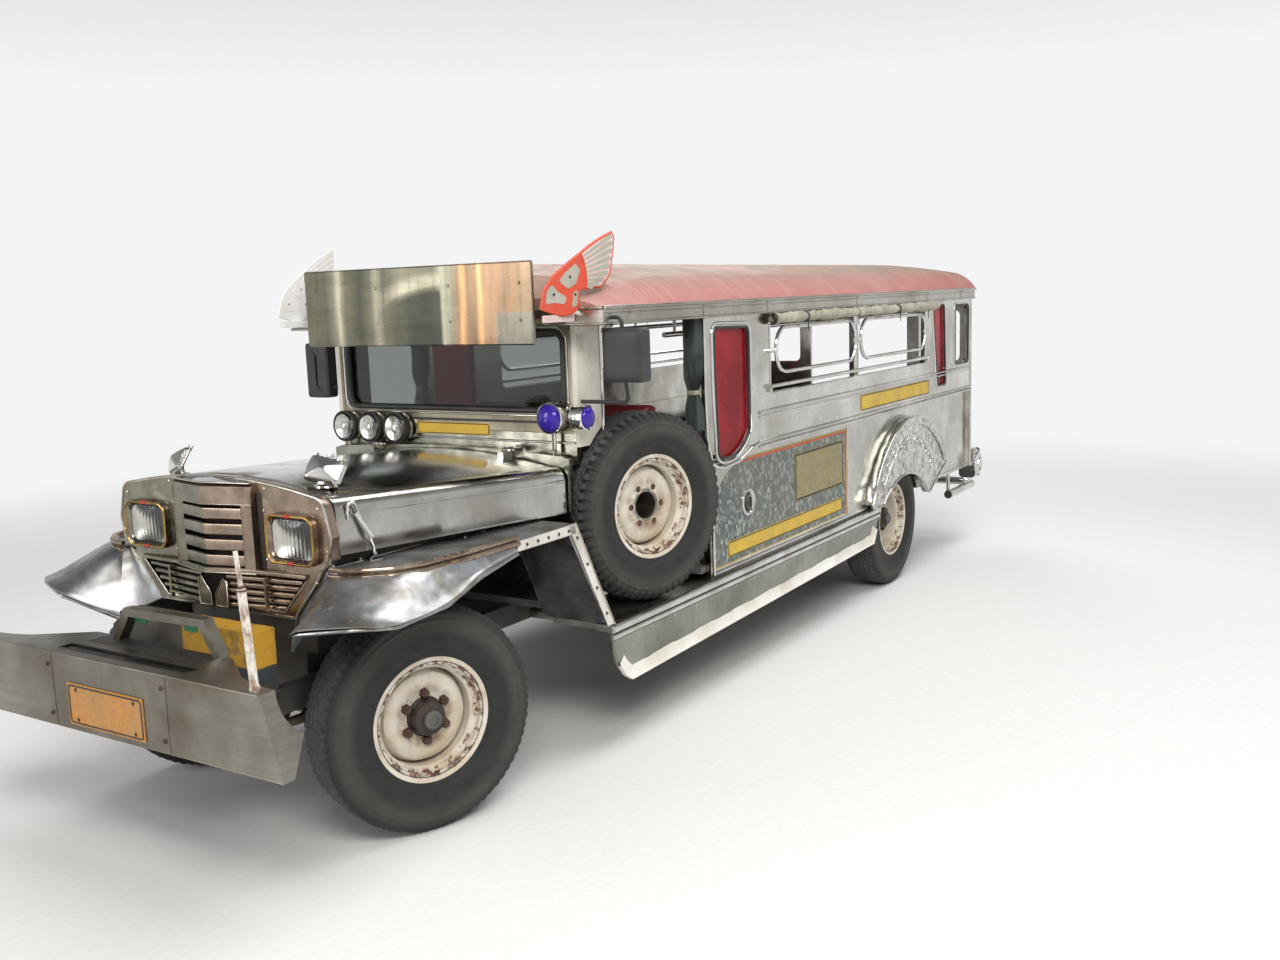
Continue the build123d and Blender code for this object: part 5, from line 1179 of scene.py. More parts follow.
def bumper_trim():
    """Number plate face with its border, bolts, welded seams, hoop reflectors and pole caps."""
    shape = Shape()
    shape.box((836.4, 840.4), (-196, 196), (500, 642))
    shape.tube([(840.6, u, 571 + v) for u, v in rounded(188, 63, 10, 3)], 2.6, 6, closed=True, mark=1)
    shape.domes([(840.2, y, z) for y in (-150, 150) for z in (520, 622)], (1, 0, 0), 7, 3.5, mark=1)
    shape.piece("number_plate", ["plate", "hub_dark"])
    trim = Shape()
    for y in (-300, 290):
        for z in (520, 690):
            trim.turned([(9, 0), (8, 2), (6, 2.2), (5.5, 6), (0.01, 7)], (836, y, z), (1, 0, 0), 6, mark=1)
        trim.tube([(836.4, y + 22, 482), (836.4, y + 21, 600), (836.4, y + 22, 731)], 1.6, 6)
    trim.tube([(833, y, BUMPER_TOP - 1) for y in (-733, 0, 733)], 3.4, 8)
    trim.tube([(833, y, BUMPER_LOW + 2) for y in (-812, 0, 812)], 3.4, 8)
    for side in (1, -1):
        trim.tube([(834, side * 736, 732), (834, side * 814, 482)], 3.4, 8)
        trim.tube([(806, side * 690, 732), (806, side * 689, 750)], [19, 15], 12)
        trim.tube([(809.7, side * 672.6, 1032), (810, side * 672, 1048)], [15, 9], 12, mark=1)
    trim.piece("bumper_trim", ["bumper", "rust"])
    patch = Shape()
    for y in (-92, 168):
        patch.box((616, 619), (y - 34, y + 34), (800, 822))
    patch.piece("hoop_reflectors", "green_mark", bevel=1.0)


# Sides, roof band and wings


PANE = curve((-1732, 1640), ((-1736, 1400), (-1752, 1150)), ((-1762, 1100), (-1800, 1082)),
             ((-1960, 1105), (-2068, 1190)), (-2068, 1640), ((-2058, 1662), (-2030, 1672)), (-1770, 1680),
             ((-1745, 1672), (-1732, 1640)), count=8)[:-1]
REAR_PANE = [(-4690, 1700), (-4780, 1172), (-4950, 1172), (-4918, 1700)]


def side_trim(side):
    """Gaskets, bright mouldings, rivets, the galvanised panel with its pin lines and the cap."""
    tag = TAGS[side]
    y = side * BODY_HALF
    black, bright = Shape(), Shape()
    black.tube(along(PANE, y + side), 7, 8, closed=True)
    bright.tube(along(offset(PANE, 20), y), 8, 10, closed=True)
    bright.tube(along([(p.x, p.z) for p in bent(
        [(-1690, 0, 1072), (-1742, 0, 1046), (-1800, 0, 1036), (-1960, 0, 1050), (-2090, 0, 1094),
         (-2180, 0, 1110)], 90, 6)], y), 9, 10)
    rear = [(p.x, p.z) for p in bent([(x, 0, z) for x, z in REAR_PANE], 28, 5, closed=True)]
    black.tube(along(rear, y + side), 6, 8, closed=True)
    bright.tube(along(offset(rear, 15), y), 6.5, 8, closed=True)
    quarter = [(-5295 + u, 1490 + v) for u, v in rounded(145, 200, 30)]
    black.tube(along(quarter, y + side), 6, 8, closed=True)
    bright.tube(along(offset(quarter, 14), y), 5, 8, closed=True)
    for x0, x1 in ((WINDOW_FRONT, WINDOW_POST + 26), (WINDOW_POST - 26, WINDOW_BACK)):
        mid, half = (x0 + x1) / 2, (x0 - x1) / 2
        ring = [(mid + u, 1520 + v) for u, v in rounded(half + 3, 183, 34)]
        bright.tube(along(ring, y), 5.5, 8, closed=True)
    for level in (BELT_LOW, BELT_HIGH):
        bright.tube([(-2165, y, level - 22), (SIDE_BACK + 20, y, level - 22)], 5.5, 8)
        bright.domes([(x, y, level + 24) for x in range(-2220, -5460, -180)], (0, side, 0), 5, 3)
    edge = [(-1657, 1724), (-1657, 1364), (-1664, 1180), (-1698, 1090), (-1698, 815), (-1698, 556)]
    bright.tube(bent(along(edge, side * 843), 80, 6), 8, 10)
    bright.tube([(-5498, y, 560), (-5498, y, 1726)], 8, 8)
    bright.tube([(-1704, side * 828, 548), (-3560, side * 828, 548)], 9, 8)
    bright.tube([(-4590, side * 828, 548), (-5500, side * 828, 548)], 9, 8)
    bright.tube([(-3310, side * 826, 560), (-3310, side * 826, 1092)], 4, 8)
    black.piece("side_gaskets_" + tag, "gasket", smooth=60)
    bright.piece("side_mouldings_" + tag, "chrome", smooth=60)
    panel = Shape()
    outline = curve((-1716, 574), ((-1726, 850), (-1991, 1035)), (-3275, 1035), (-3275, 574))
    low = side * LOWER_HALF
    panel.slab("y", (low + side * 0.2, low + side * 1.2), outline)
    panel.piece("side_panel_" + tag, "galvanised")
    lines = Shape()
    for number, out in enumerate((2.0, 11.0, 18.0)):
        path = [(-1985 + out, 1035 + out), (-3275 - out, 1035 + out), (-3275 - out, 574 - out * 0.6)]
        strip(lines, path, (8, 7, 3)[number], (LOWER_HALF + 0.2, LOWER_HALF + 2.0), side, mark=number)
    strip(lines, [(-3275, 571), (-1716, 571)], 4, (LOWER_HALF + 0.2, LOWER_HALF + 2.0), side, mark=2)
    lines.piece("side_lines_" + tag, ["wing_red", "plate", "yellow"])
    cap = Shape()
    middle, way = (-2076, low, 833), (0, side, 0)
    cap.turned([(68, 0), (67, 7), (62, 11), (55, 11), (50, 5), (47, 2)], middle, way, 40)
    cap.turned([(47, 1.5), (40, 2), (36, 12), (30, 18), (0.01, 19)], middle, way, 32, mark=1)
    cap.box((-2082, -2070), span(side, LOWER_HALF + 12, LOWER_HALF + 28), (800, 866))
    cap.piece("fuel_cap_" + tag, ["chrome", "hub_dark"], bevel=0.6)
    borders = Shape()
    for x0, x1, z0, z1, face in ((-3240, -2612, 745, 995, LOWER_HALF), (-3222, -1865, 599, 674, LOWER_HALF),
                                 (-4612, -3456, 1135, 1226, BODY_HALF)):
        ring = [((x0 + x1) / 2 + u, (z0 + z1) / 2 + v) for u, v in
                rounded((x1 - x0) / 2 - 5, (z1 - z0) / 2 - 5, 8, 2)]
        strip(borders, ring, 5, (face + 2.8, face + 3.8), side, closed=True)
    borders.piece("board_borders_" + tag, "hub_dark")


def sill_trim(side):
    """Rivets under the nosing of the step, and the white flange of the skirt."""
    tag = TAGS[side]
    shape = Shape()
    shape.domes([(x, side * (BODY_HALF + 1), 460) for x in range(-940, -3600, -190)], (0, side, 0), 5, 3)
    shape.piece("sill_rivets_" + tag, "chrome")
    flange = Shape()
    rows = [(-868, 360), (-905, 312), (-952, 281)]
    rows += [(x, 281 + 52 * (-952 - x) / 2666) for x in range(-1000, -3600, -48)]
    rows += [(-3618, 333), (-3668, 410)]
    rings = []
    for (x, z), (nx, nz) in zip(rows, normals(rows, False)):
        deep = 54 + 2.5 * math.sin(x / 53.0) + 1.5 * math.sin(x / 19.0)
        rings.append([(x + nx * deep, side * 850.8, z + nz * deep), (x + nx * 8, side * 853.0, z + nz * 8),
                      (x - nx, side * 864, z - nz), (x - nx * 3, side * 862, z - nz * 3),
                      (x - nx * 2, side * 846, z - nz * 2)])
    flange.sheet(rings)
    flange.piece("skirt_flange_" + tag, "skirt_white", smooth=50)


def arch_trim(side):
    """Bright bead round the bulged cover and raised scrolls on its field."""
    tag = TAGS[side]
    shape = Shape()
    y = side * 874
    outer = curve((-3562, 575), ((-4176, 1016), (-4905, 660)), count=40)
    inner = curve((-3604, 590), ((-4176, 974), (-4860, 668)), count=40)
    shape.tube(along(outer, y + side * 8), 9, 10)
    shape.tube(along(inner, y + side * 8), 5, 8)
    lower = curve((-4909, 655), (-4568, 494), ((-4160, 676), (-3745, 540)), (-3600, 538), count=24)
    shape.tube(along(lower, y), 6, 8)
    for start, via, end, r in (((-3760, 640), (-4180, 872), (-4620, 700), 5.0),
                               ((-3830, 690), (-4180, 905), (-4560, 745), 3.5)):
        shape.tube(along(curve(start, (via, end), count=24), y), r, 8)
    for k in range(9):
        a = math.radians(28 + 15.5 * k)
        x, z = -4176 + 520 * math.cos(a) * 0.92, 500 + 340 * math.sin(a) * 1.12
        swirl = [(x + 26 * s * math.cos(2.4 * math.pi * s), z + 26 * s * math.sin(2.4 * math.pi * s))
                 for s in (0.25 + 0.75 * i / 14 for i in range(15))]
        shape.tube(along(swirl, y), 4.5, 6)
    shape.piece("arch_bead_" + tag, "chrome", smooth=60)


def band_trim():
    """Drip beads, lap strips and rivets of the gutter band, and the roof's edge bead."""
    shape = Shape()
    for side in (1, -1):
        for z, r, out in ((BAND_LOW + 3, 6, 1), (BAND_TOP - 1, 8, 5), (1772, 3, 0)):
            shape.tube([(-838, side * (BAND_HALF + out), z), (-5549, side * (BAND_HALF + out), z)], r, 8)
        for x in (-1640, -2270, -3390, -4560, -5250):
            strip(shape, [(x, BAND_LOW + 6), (x, BAND_TOP - 8)], 34, (BAND_HALF + 0.2, BAND_HALF + 2), side)
            shape.domes([(x + u, side * (BAND_HALF + 2), z) for u in (-10, 10) for z in (1745, 1779)],
                        (0, side, 0), 4, 2.5)
    for z, r in ((BAND_LOW + 3, 6), (BAND_TOP - 1, 8)):
        shape.tube([(-834, -BAND_HALF, z), (-834, BAND_HALF, z)], r, 8)
        shape.tube([(-5552, -BAND_HALF, z), (-5552, BAND_HALF, z)], r, 8)
    shape.piece("band_beads", "band_steel", smooth=60)
    hem = Shape()
    for y in (-617, 617):
        hem.tube([(-715, y, 1666), (-715, y, 1977)], 7, 8)
    for z in (1666, 1977):
        hem.tube([(-715, -617, z), (-715, 617, z)], 7, 8)
    hem.domes([(-708, y, z) for y in (-560, -200, 200, 560) for z in (1757, 1900)], (1, 0, 0), 7, 4)
    hem.piece("sign_hem", "sign_steel")


WING_TURN = math.radians(9.4)
WING = curve((-6, 1798), (16, 1869), (66, 1918), (157, 1972), (218, 2004), ((310, 2052), (399, 2087)),
             ((407, 2062), (402, 2040)), ((404, 2026), (395, 2010)), ((397, 1994), (388, 1980)),
             ((390, 1964), (380, 1950)), ((381, 1934), (370, 1920)), ((360, 1904), (344, 1896)),
             ((332, 1882), (310, 1876)), (200, 1868), (196, 1796), ((142, 1774), (90, 1771)), count=4)
WING_SPLIT = [(218, 2002), (230, 1975), (240, 1935), (243, 1900), (240, 1870)]
WING_FIELDS = ([(14, 1813), (24, 1862), (52, 1888), (84, 1858), (130, 1838), (116, 1812), (63, 1819)],
               [(90, 1899), (119, 1927), (184, 1966), (208, 1940), (183, 1890), (139, 1870)],
               [(168, 1858), (192, 1866), (190, 1832), (184, 1802), (152, 1796), (160, 1826)])
FEATHER_ENDS = ((397, 2077), (399, 2050), (395, 2020), (387, 1990), (378, 1960), (367, 1930), (343, 1904),
                (312, 1885), (276, 1875))


def wing(side):
    """Sheet wing turned slightly outward: framed fields in front, slender feathers behind."""
    tag = TAGS[side]
    ahead = Vector((-math.cos(WING_TURN), side * math.sin(WING_TURN), 0))
    out = Vector((math.sin(WING_TURN), side * math.cos(WING_TURN), 0))
    foot = Vector((-640, side * 716, 0))

    def lift(u, z, level):
        return foot + ahead * u + out * level + Vector((0, 0, z))

    shape = Shape()
    shape.skin([[lift(u, z, level) for u, z in WING] for level in (-5, 5)])
    frame_part = WING[:5] + WING_SPLIT[1:] + WING[WING.index((200, 1868)):]
    shape.skin([[lift(u, z, level) for u, z in frame_part] for level in (-6, 6)], mark=1)
    for field in WING_FIELDS:
        path = [(p.x, p.y) for p in bent([(u, z, 0) for u, z in field], 12, 4, closed=True)]
        shape.skin([[lift(u, z, level) for u, z in path] for level in (-7, 7)], mark=2)
    for number, (end_u, end_z) in enumerate(FEATHER_ENDS):
        u0, z0 = 226 + 17 * min(1.0, number / 5), 1992 - 14.6 * number
        way = Vector((end_u - u0, end_z - z0)).normalized()
        side_u, side_z = -way.y, way.x
        size = math.hypot(end_u - u0, end_z - z0)
        left, right = [], []
        for share, half in ((0.0, 3.2), (0.3, 5.2), (0.8, 9.0), (0.95, 8.0), (1.0, 3.5)):
            u, z = u0 + way.x * size * share, z0 + way.y * size * share
            left.append((u + side_u * half, z + side_z * half))
            right.append((u - side_u * half, z - side_z * half))
        path = left + right[::-1]
        shape.skin([[lift(u, z, level) for u, z in path] for level in (-6.6, 6.6)], mark=2)
    shape.tube([lift(u, z, 0) for u, z in WING], 6.2, 8, closed=True, mark=1)
    for level in (-7, 7):
        shape.tube([lift(u, z, level * 0.6) for u, z in WING_SPLIT], 5.0, 8, mark=1)
        shape.domes([lift(u, z, level) for u, z in ((150, 1915), (176, 1848), (60, 1850))],
                    out * (1 if level > 0 else -1), 6, 4, mark=3)
    looks = ["wing_pink", "wing_red", "wings", "hub_dark"] if side > 0 else ["wing_white"] * 3 + ["chrome"]
    shape.box((-830, -652), span(side, 706, 732), (1745, 1772))
    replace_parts(shape.piece("wing_" + tag, looks, bevel=0.6), "wings")


def mirror_trim():
    """Glass, rim and domed shell of the side mirrors."""
    for tag, x, y0, y1, z0, z1 in (("left", -935, 822, 1008, 1503, 1713),
                                   ("right", -1092, -1008, -862, 1400, 1660)):
        mid = ((y0 + y1) / 2, (z0 + z1) / 2)
        half = ((y1 - y0) / 2, (z1 - z0) / 2)
        pane, rim = Shape(), Shape()
        pane.skin([[(x - out, mid[0] + u, mid[1] + v) for u, v in rounded(half[0] - d, half[1] - d, 14)]
                   for out, d in ((0.5, 12), (2.5, 13))])
        pane.piece("mirror_glass_" + tag, "mirror_glass")
        rim.tube([(x, mid[0] + u, mid[1] + v) for u, v in rounded(half[0] - 6, half[1] - 6, 16)], 5, 8,
                 closed=True)
        back = x + (55 if tag == "left" else 52)
        rim.skin([[(back + out, mid[0] + u, mid[1] + v) for u, v in rounded(half[0] - d, half[1] - d, 18)]
                  for out, d in ((-1, 1), (5, 6), (8, 22), (9, 60))])
        rim.piece("mirror_shell_" + tag, "mirror_case", smooth=50)


# Front fenders


def smooth_rows(rows, count):
    """Rows of numbers passed through by one smooth curve."""
    rows = [np.array(row, dtype=float) for row in rows]
    ends = [2 * rows[0] - rows[1]] + rows + [2 * rows[-1] - rows[-2]]
    made = []
    for a, b, c, d in zip(ends, ends[1:], ends[2:], ends[3:]):
        for k in range(count):
            t = k / count
            made.append(0.5 * (2 * b + (c - a) * t + (2 * a - 5 * b + 4 * c - d) * t * t
                               + (3 * b - a - 3 * c + d) * t ** 3))
    return made + [rows[-1]]


def front_fender(side):
    """One fender: crowned shelf, bell-shaped flare, inner wall, apron and rear flange."""
    tag = TAGS[side]
    shape = Shape()
    rows = smooth_rows(FLARE, 10)
    thick = 4.0
    skins = []
    for depth in (0.0, thick):
        grid = []
        for sx, sy, lx, ly, lz in rows:
            row = []
            for k in range(13):
                t = k / 12
                sag = 26 * math.sin(math.pi * t) * (1 - 0.35 * t)
                drop = (FENDER_TOP - lz) * (t ** 1.35) + sag * 0.4
                lift = 7 * max(0.0, t - 0.86) / 0.14
                row.append((sx + (lx - sx) * t, side * (sy + (ly - sy) * t),
                            FENDER_TOP - drop + lift - depth))
            grid.append(row)
        shape.sheet(grid)
        skins.append(grid)
    shape.sheet([[a, b] for a, b in zip((r[-1] for r in skins[0]), (r[-1] for r in skins[1]))])
    edge = [(FENDER_BACK, 790)] + [(sx, sy) for sx, sy, _, _, _ in rows] + [(300, 545)]
    for depth in (0.0, thick):
        grid = []
        for x, y in edge:
            row = []
            for k in range(9):
                t = k / 8
                swell = 9 * math.sin(math.pi * t) * min(1.0, max(0.0, (x + 300) / 260))
                row.append((x, side * (FENDER_IN + (y - FENDER_IN) * t), FENDER_TOP - depth + swell))
            grid.append(row)
        shape.sheet(grid)
    shape.box((FENDER_BACK, 299.5), span(side, 470, 480), (840, 971))
    foot, top = SILL_TOP + 0.5, FENDER_TOP - 1
    wall = ((FENDER_BACK, FENDER_IN, top), (FENDER_FOOT, 510, foot), (FENDER_FOOT, 847, foot),
            (FENDER_BACK, 788, top))
    shape.skin([[(x, side * y, z), (x + 9, side * y, z)] for x, y, z in wall], way_closed=True, caps=False)
    shape.sheet([[(x + d, side * y, z) for x, y, z in wall[:2]] for d in (0, 9)])
    for d in (0, 8):
        shape.sheet([[(wall[i][0] + d, side * wall[i][1], wall[i][2]) for i in pair]
                     for pair in ((0, 3), (1, 2))])
    shape.sheet([[(x, side * 790, 972), (x, side * 795.5, 932)] for x in (-300, -690)])
    shape.sheet([[(-690, side * 790, 972), (-642, side * 796, 926)],
                 [(-848, side * 848.4, foot), (-804, side * 848.4, foot)]])
    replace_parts(shape.piece("front_fender_" + tag, "fender_steel", smooth=50), "front_fenders")
    apron = Shape()
    inner_edge = skins[0][-1]
    for back in (0.0, 3.0):
        grid = []
        for k, start in enumerate(inner_edge):
            t = k / (len(inner_edge) - 1)
            end = (330, side * (539 - 187 * t), 1005 - 207 * t)
            grid.append([tuple(a + (b - a) * s / 4 - (back if axis == 0 else 0)
                               - (14 * math.sin(math.pi * s / 4) if axis == 0 else 0)
                               for axis, (a, b) in enumerate(zip(start, end))) for s in range(5)])
        apron.sheet(grid)
    apron.tube([inner_edge[-1], (330, side * 352, 798)], 4, 8)
    apron.piece("fender_apron_" + tag, "fender_steel", smooth=50)


# Soft goods


CLOTH_FRAMES = 20
AIR = {"quality": 4, "mass": 0.3, "tension_stiffness": 12, "compression_stiffness": 12,
       "bending_stiffness": 0.8, "use_pressure": True, "uniform_pressure_force": 4.0}


def puffed(name, size, voxel, swell, channels, across):
    """Mesh of a padded form: blown up by cloth pressure, flat below, with sewn channels on top."""
    lx, ly, lz = (s * MM for s in size)
    base = bpy.data.meshes.new(name + "_base")
    form = bmesh.new()
    bmesh.ops.create_cube(form, size=1.0)
    for v in form.verts:
        v.co = Vector((v.co.x * (lx - 0.012), v.co.y * (ly - 0.012), (v.co.z + 0.5) * (lz - 0.008)))
    bmesh.ops.bevel(form, geom=form.edges[:], offset=lz * 0.3, segments=4, profile=0.6, affect="EDGES")
    form.to_mesh(base)
    form.free()
    obj = linked(name + "_base", base)
    remesh = obj.modifiers.new("even_mesh", "REMESH")
    remesh.mode = "VOXEL"
    remesh.voxel_size = voxel * MM
    graph = bpy.context.evaluated_depsgraph_get()
    even = bpy.data.meshes.new_from_object(obj.evaluated_get(graph))
    obj.modifiers.clear()
    obj.data = even
    start = np.array([v.co for v in even.vertices])
    cloth = obj.modifiers.new("air", "CLOTH")
    for key, value in AIR.items():
        setattr(cloth.settings, key, value)
    cloth.settings.effector_weights.gravity = 0.0
    cloth.collision_settings.use_collision = False
    scene = bpy.context.scene
    cloth.point_cache.frame_start, cloth.point_cache.frame_end = 1, CLOTH_FRAMES
    for number in range(1, CLOTH_FRAMES + 1):
        scene.frame_set(number)
    graph = bpy.context.evaluated_depsgraph_get()
    blown = bpy.data.meshes.new_from_object(obj.evaluated_get(graph))
    moved = np.array([v.co for v in blown.vertices]) - start
    far = np.linalg.norm(moved, axis=1, keepdims=True)
    start = start + moved * np.minimum(1.0, swell * MM / np.maximum(far, 1e-6))
    scene.frame_set(1)
    length, across_half = (lx, ly / 2) if across == "x" else (ly, lx / 2)
    u, w = (start[:, 0], start[:, 1]) if across == "x" else (start[:, 1], start[:, 0])
    top = np.clip((start[:, 2] - lz * 0.55) / (lz * 0.4), 0, 1)
    crown = 0.010 * (1 - (w / across_half) ** 2).clip(0, 1)
    start[:, 2] += crown * top
    for k in range(1, channels):
        line = -length / 2 + length * k / channels
        start[:, 2] -= 0.008 * np.exp(-((u - line) / 0.0075) ** 2) * top
    start[:, 2] = np.clip(start[:, 2], 0.0004, None)
    start[:, 0] = np.clip(start[:, 0], -lx / 2 - 0.004, lx / 2 + 0.004)
    start[:, 1] = np.clip(start[:, 1], -ly / 2 + 0.0005, ly / 2 - 0.0005)
    even.vertices.foreach_set("co", start.astype(np.float32).ravel())
    even.update()
    even.materials.clear()
    even.materials.append(LOOKS["seat"])
    even.shade_smooth()
    bpy.data.objects.remove(obj)
    bpy.data.meshes.remove(base)
    return even


def soft(name, mesh, place):
    """One padded piece of the seats, its mesh shared."""
    obj = linked(name, mesh, place)
    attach(obj, "root")
    return obj


BENCH_TOP, BENCH_IN, BENCH_OUT, CUSHION = 960.0, 440.0, 794.4, 90.0
BENCH_BACK, BENCH_FRONT = -5440, -2120
SEAT_Y = 330.0


def seats():
    """Padded bench sections and front seats with their boxes and shelves."""
    hard = Shape()
    top = BENCH_TOP - CUSHION
    for side in (1, -1):
        hard.box((BENCH_BACK, BENCH_FRONT), span(side, BENCH_IN, BENCH_OUT), (top - 12, top))
        hard.box((BENCH_BACK, BENCH_FRONT), span(side, BENCH_IN, BENCH_IN + 20), (FLOOR_TOP, top - 12))
        for x in (BENCH_BACK, BENCH_FRONT - 20):
            hard.box((x, x + 20), span(side, BENCH_IN + 20, BENCH_OUT), (FLOOR_TOP, top - 12))
        hard.domes([(x, side * BENCH_IN, 840) for x in range(-5380, -2140, 240)], (0, -side, 0), 7, 3)
        y = side * SEAT_Y
        hard.box((-1750, -1330), (y - 170, y + 170), (FLOOR_TOP, 830))
    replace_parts(hard.piece("seat_boxes", "floor", bevel=2.0), "seats")
    section = puffed("bench_section", (1096, 352, 88), 8.5, 9, 5, "x")
    cushion = puffed("front_cushion", (446, 396, 96), 6.5, 10, 4, "y")
    back = puffed("front_back", (404, 388, 84), 6.5, 10, 4, "y")
    for side, tag in TAGS.items():
        middle = side * (BENCH_IN - 10 + BENCH_OUT) / 2
        for number in range(3):
            x = -2130 - 1100 * (number + 0.5)
            place = Matrix.Translation(at(x, middle, top + 0.3))
            soft(f"bench_cushion_{tag}_{number + 1}", section, place)
        y = side * SEAT_Y
        soft("front_cushion_" + tag, cushion, Matrix.Translation(at(-1535, y, 830.6)))
        lean = math.atan2(60, 400)
        place = Matrix.Translation(at(-1757, y, 1134)) @ Matrix.Rotation(-lean, 4, "Y") @ Matrix(
            ((0, 0, 1, 0), (0, 1, 0, 0), (-1, 0, 0, 0), (0, 0, 0, 1)))
        soft("front_back_" + tag, back, place)


def rolled_curtain(side):
    """Weather curtain rolled up under the band, tied in four places, bunched at its rear."""
    tag = TAGS[side]
    yc, zc = side * (BODY_HALF + 28.3), BAND_LOW - 28.3
    x0, x1 = -2285.0, -4690.0
    ties = (-2660.0, -3330.0, -3980.0, -4480.0)
    turns, inner, along_steps, around = 6.25, 10.0, 216, 26
    rows = []
    for i in range(along_steps + 1):
        x = x0 + (x1 - x0) * i / along_steps
        tie = sum(math.exp(-((x - t) / 42) ** 2) for t in ties)
        wave = 2.2 * math.sin(x / 61.0) + 1.6 * math.sin(x / 23.0 + 1.3) + 1.2 * math.sin(x / 11.0)
        bunch = math.exp(-((x - ties[3]) / 150) ** 2)
        outer = 27.5 + wave * 1.1 - 7.5 * tie + 7.0 * bunch
        row = []
        for k in range(int(turns * around) + 1):
            a = 2 * math.pi * k / around
            r = inner + (outer - inner) * k / (turns * around)
            crease = 1.0 + 0.035 * math.sin(3 * a + x / 47.0) + 0.03 * bunch * math.sin(7 * a + x / 9.0)
            row.append((x, yc + side * r * crease * math.cos(a),
                        zc + r * crease * math.sin(a) - 1.2 * bunch))
        rows.append(row)
    shape = Shape()
    shape.sheet(rows)
    roll = shape.piece("curtain_roll_" + tag, "curtain", smooth=80, slot="curtain_cloth")
    straps = Shape()
    for x in ties:
        straps.turned([(22, -9), (24.5, -7), (24.5, 7), (22, 9)], (x, yc, zc), (1, 0, 0), 24)
        straps.tube([(x, yc - side * 6, zc + 24), (x, side * BODY_HALF, BAND_LOW - 2)], 3.5, 6)
        straps.tube([(x + 4, yc + side * 20, zc - 14), (x + 7, yc + side * 17, zc - 46),
                     (x + 3, yc + side * 19, zc - 74)], [3.5, 3, 2], 6)
    straps.piece("curtain_straps_" + tag, "curtain_dark", smooth=60)
    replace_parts(roll, "curtains")


def tied_curtain(side):
    """Dark curtain gathered in deep upright folds at the front of the side, tied half way."""
    tag = TAGS[side]
    yc, xc = side * 804.0, -1621.5
    rows, flat = [], 0.0
    high, low = 1727.0, 1228.0
    levels = 50
    for i in range(levels + 1):
        t = i / levels
        z = high + (low - high) * t
        tie = math.exp(-((z - 1400) / 46) ** 2)
        wide = 34.0 * (1 - 0.38 * tie)
        deep = 33.0 * (1 - 0.34 * tie)
        row = []
        for k in range(241):
            s = k / 240
            a = 2 * math.pi * 6 * s
            lean = 2.0 * math.sin(z / 60.0 + 5 * s)
            row.append((xc + wide * (2 * s - 1) * 0.97 + 3.0 * math.sin(a * 2 + z / 80.0) + lean * 0.5,
                        yc + deep * math.sin(a + 0.5 * math.sin(z / 95.0)) + lean, z))
        rows.append(row)
        flat += sum((Vector(p) - Vector(q)).length for p, q in zip(row, row[1:])) / (levels + 1)
    shape = Shape()
    shape.sheet(rows)
    cloth = shape.piece("curtain_tied_" + tag, "curtain_dark", smooth=80, slot="curtain_cloth")
    strap = Shape()
    strap.skin([[(xc + u * g, yc + v * g, z) for u, v in rounded(29, 27, 16)] for z, g in
                ((1390, 0.93), (1393, 1.0), (1407, 1.0), (1410, 0.93))], caps=False)
    strap.piece("curtain_tie_" + tag, "curtain")


# Grille, skirts and the nodes that keep their own shape


def vee_section(shape, half, ends, peak, section, mark=0):
    """A section of (depth, height) run from side to side over the grille's peak."""
    rings = []
    for y, x in ((-half, ends), (0, peak), (half, ends)):
        rings.append([(x - depth, y, z) for depth, z in section])
    shape.skin(rings, mark=mark)


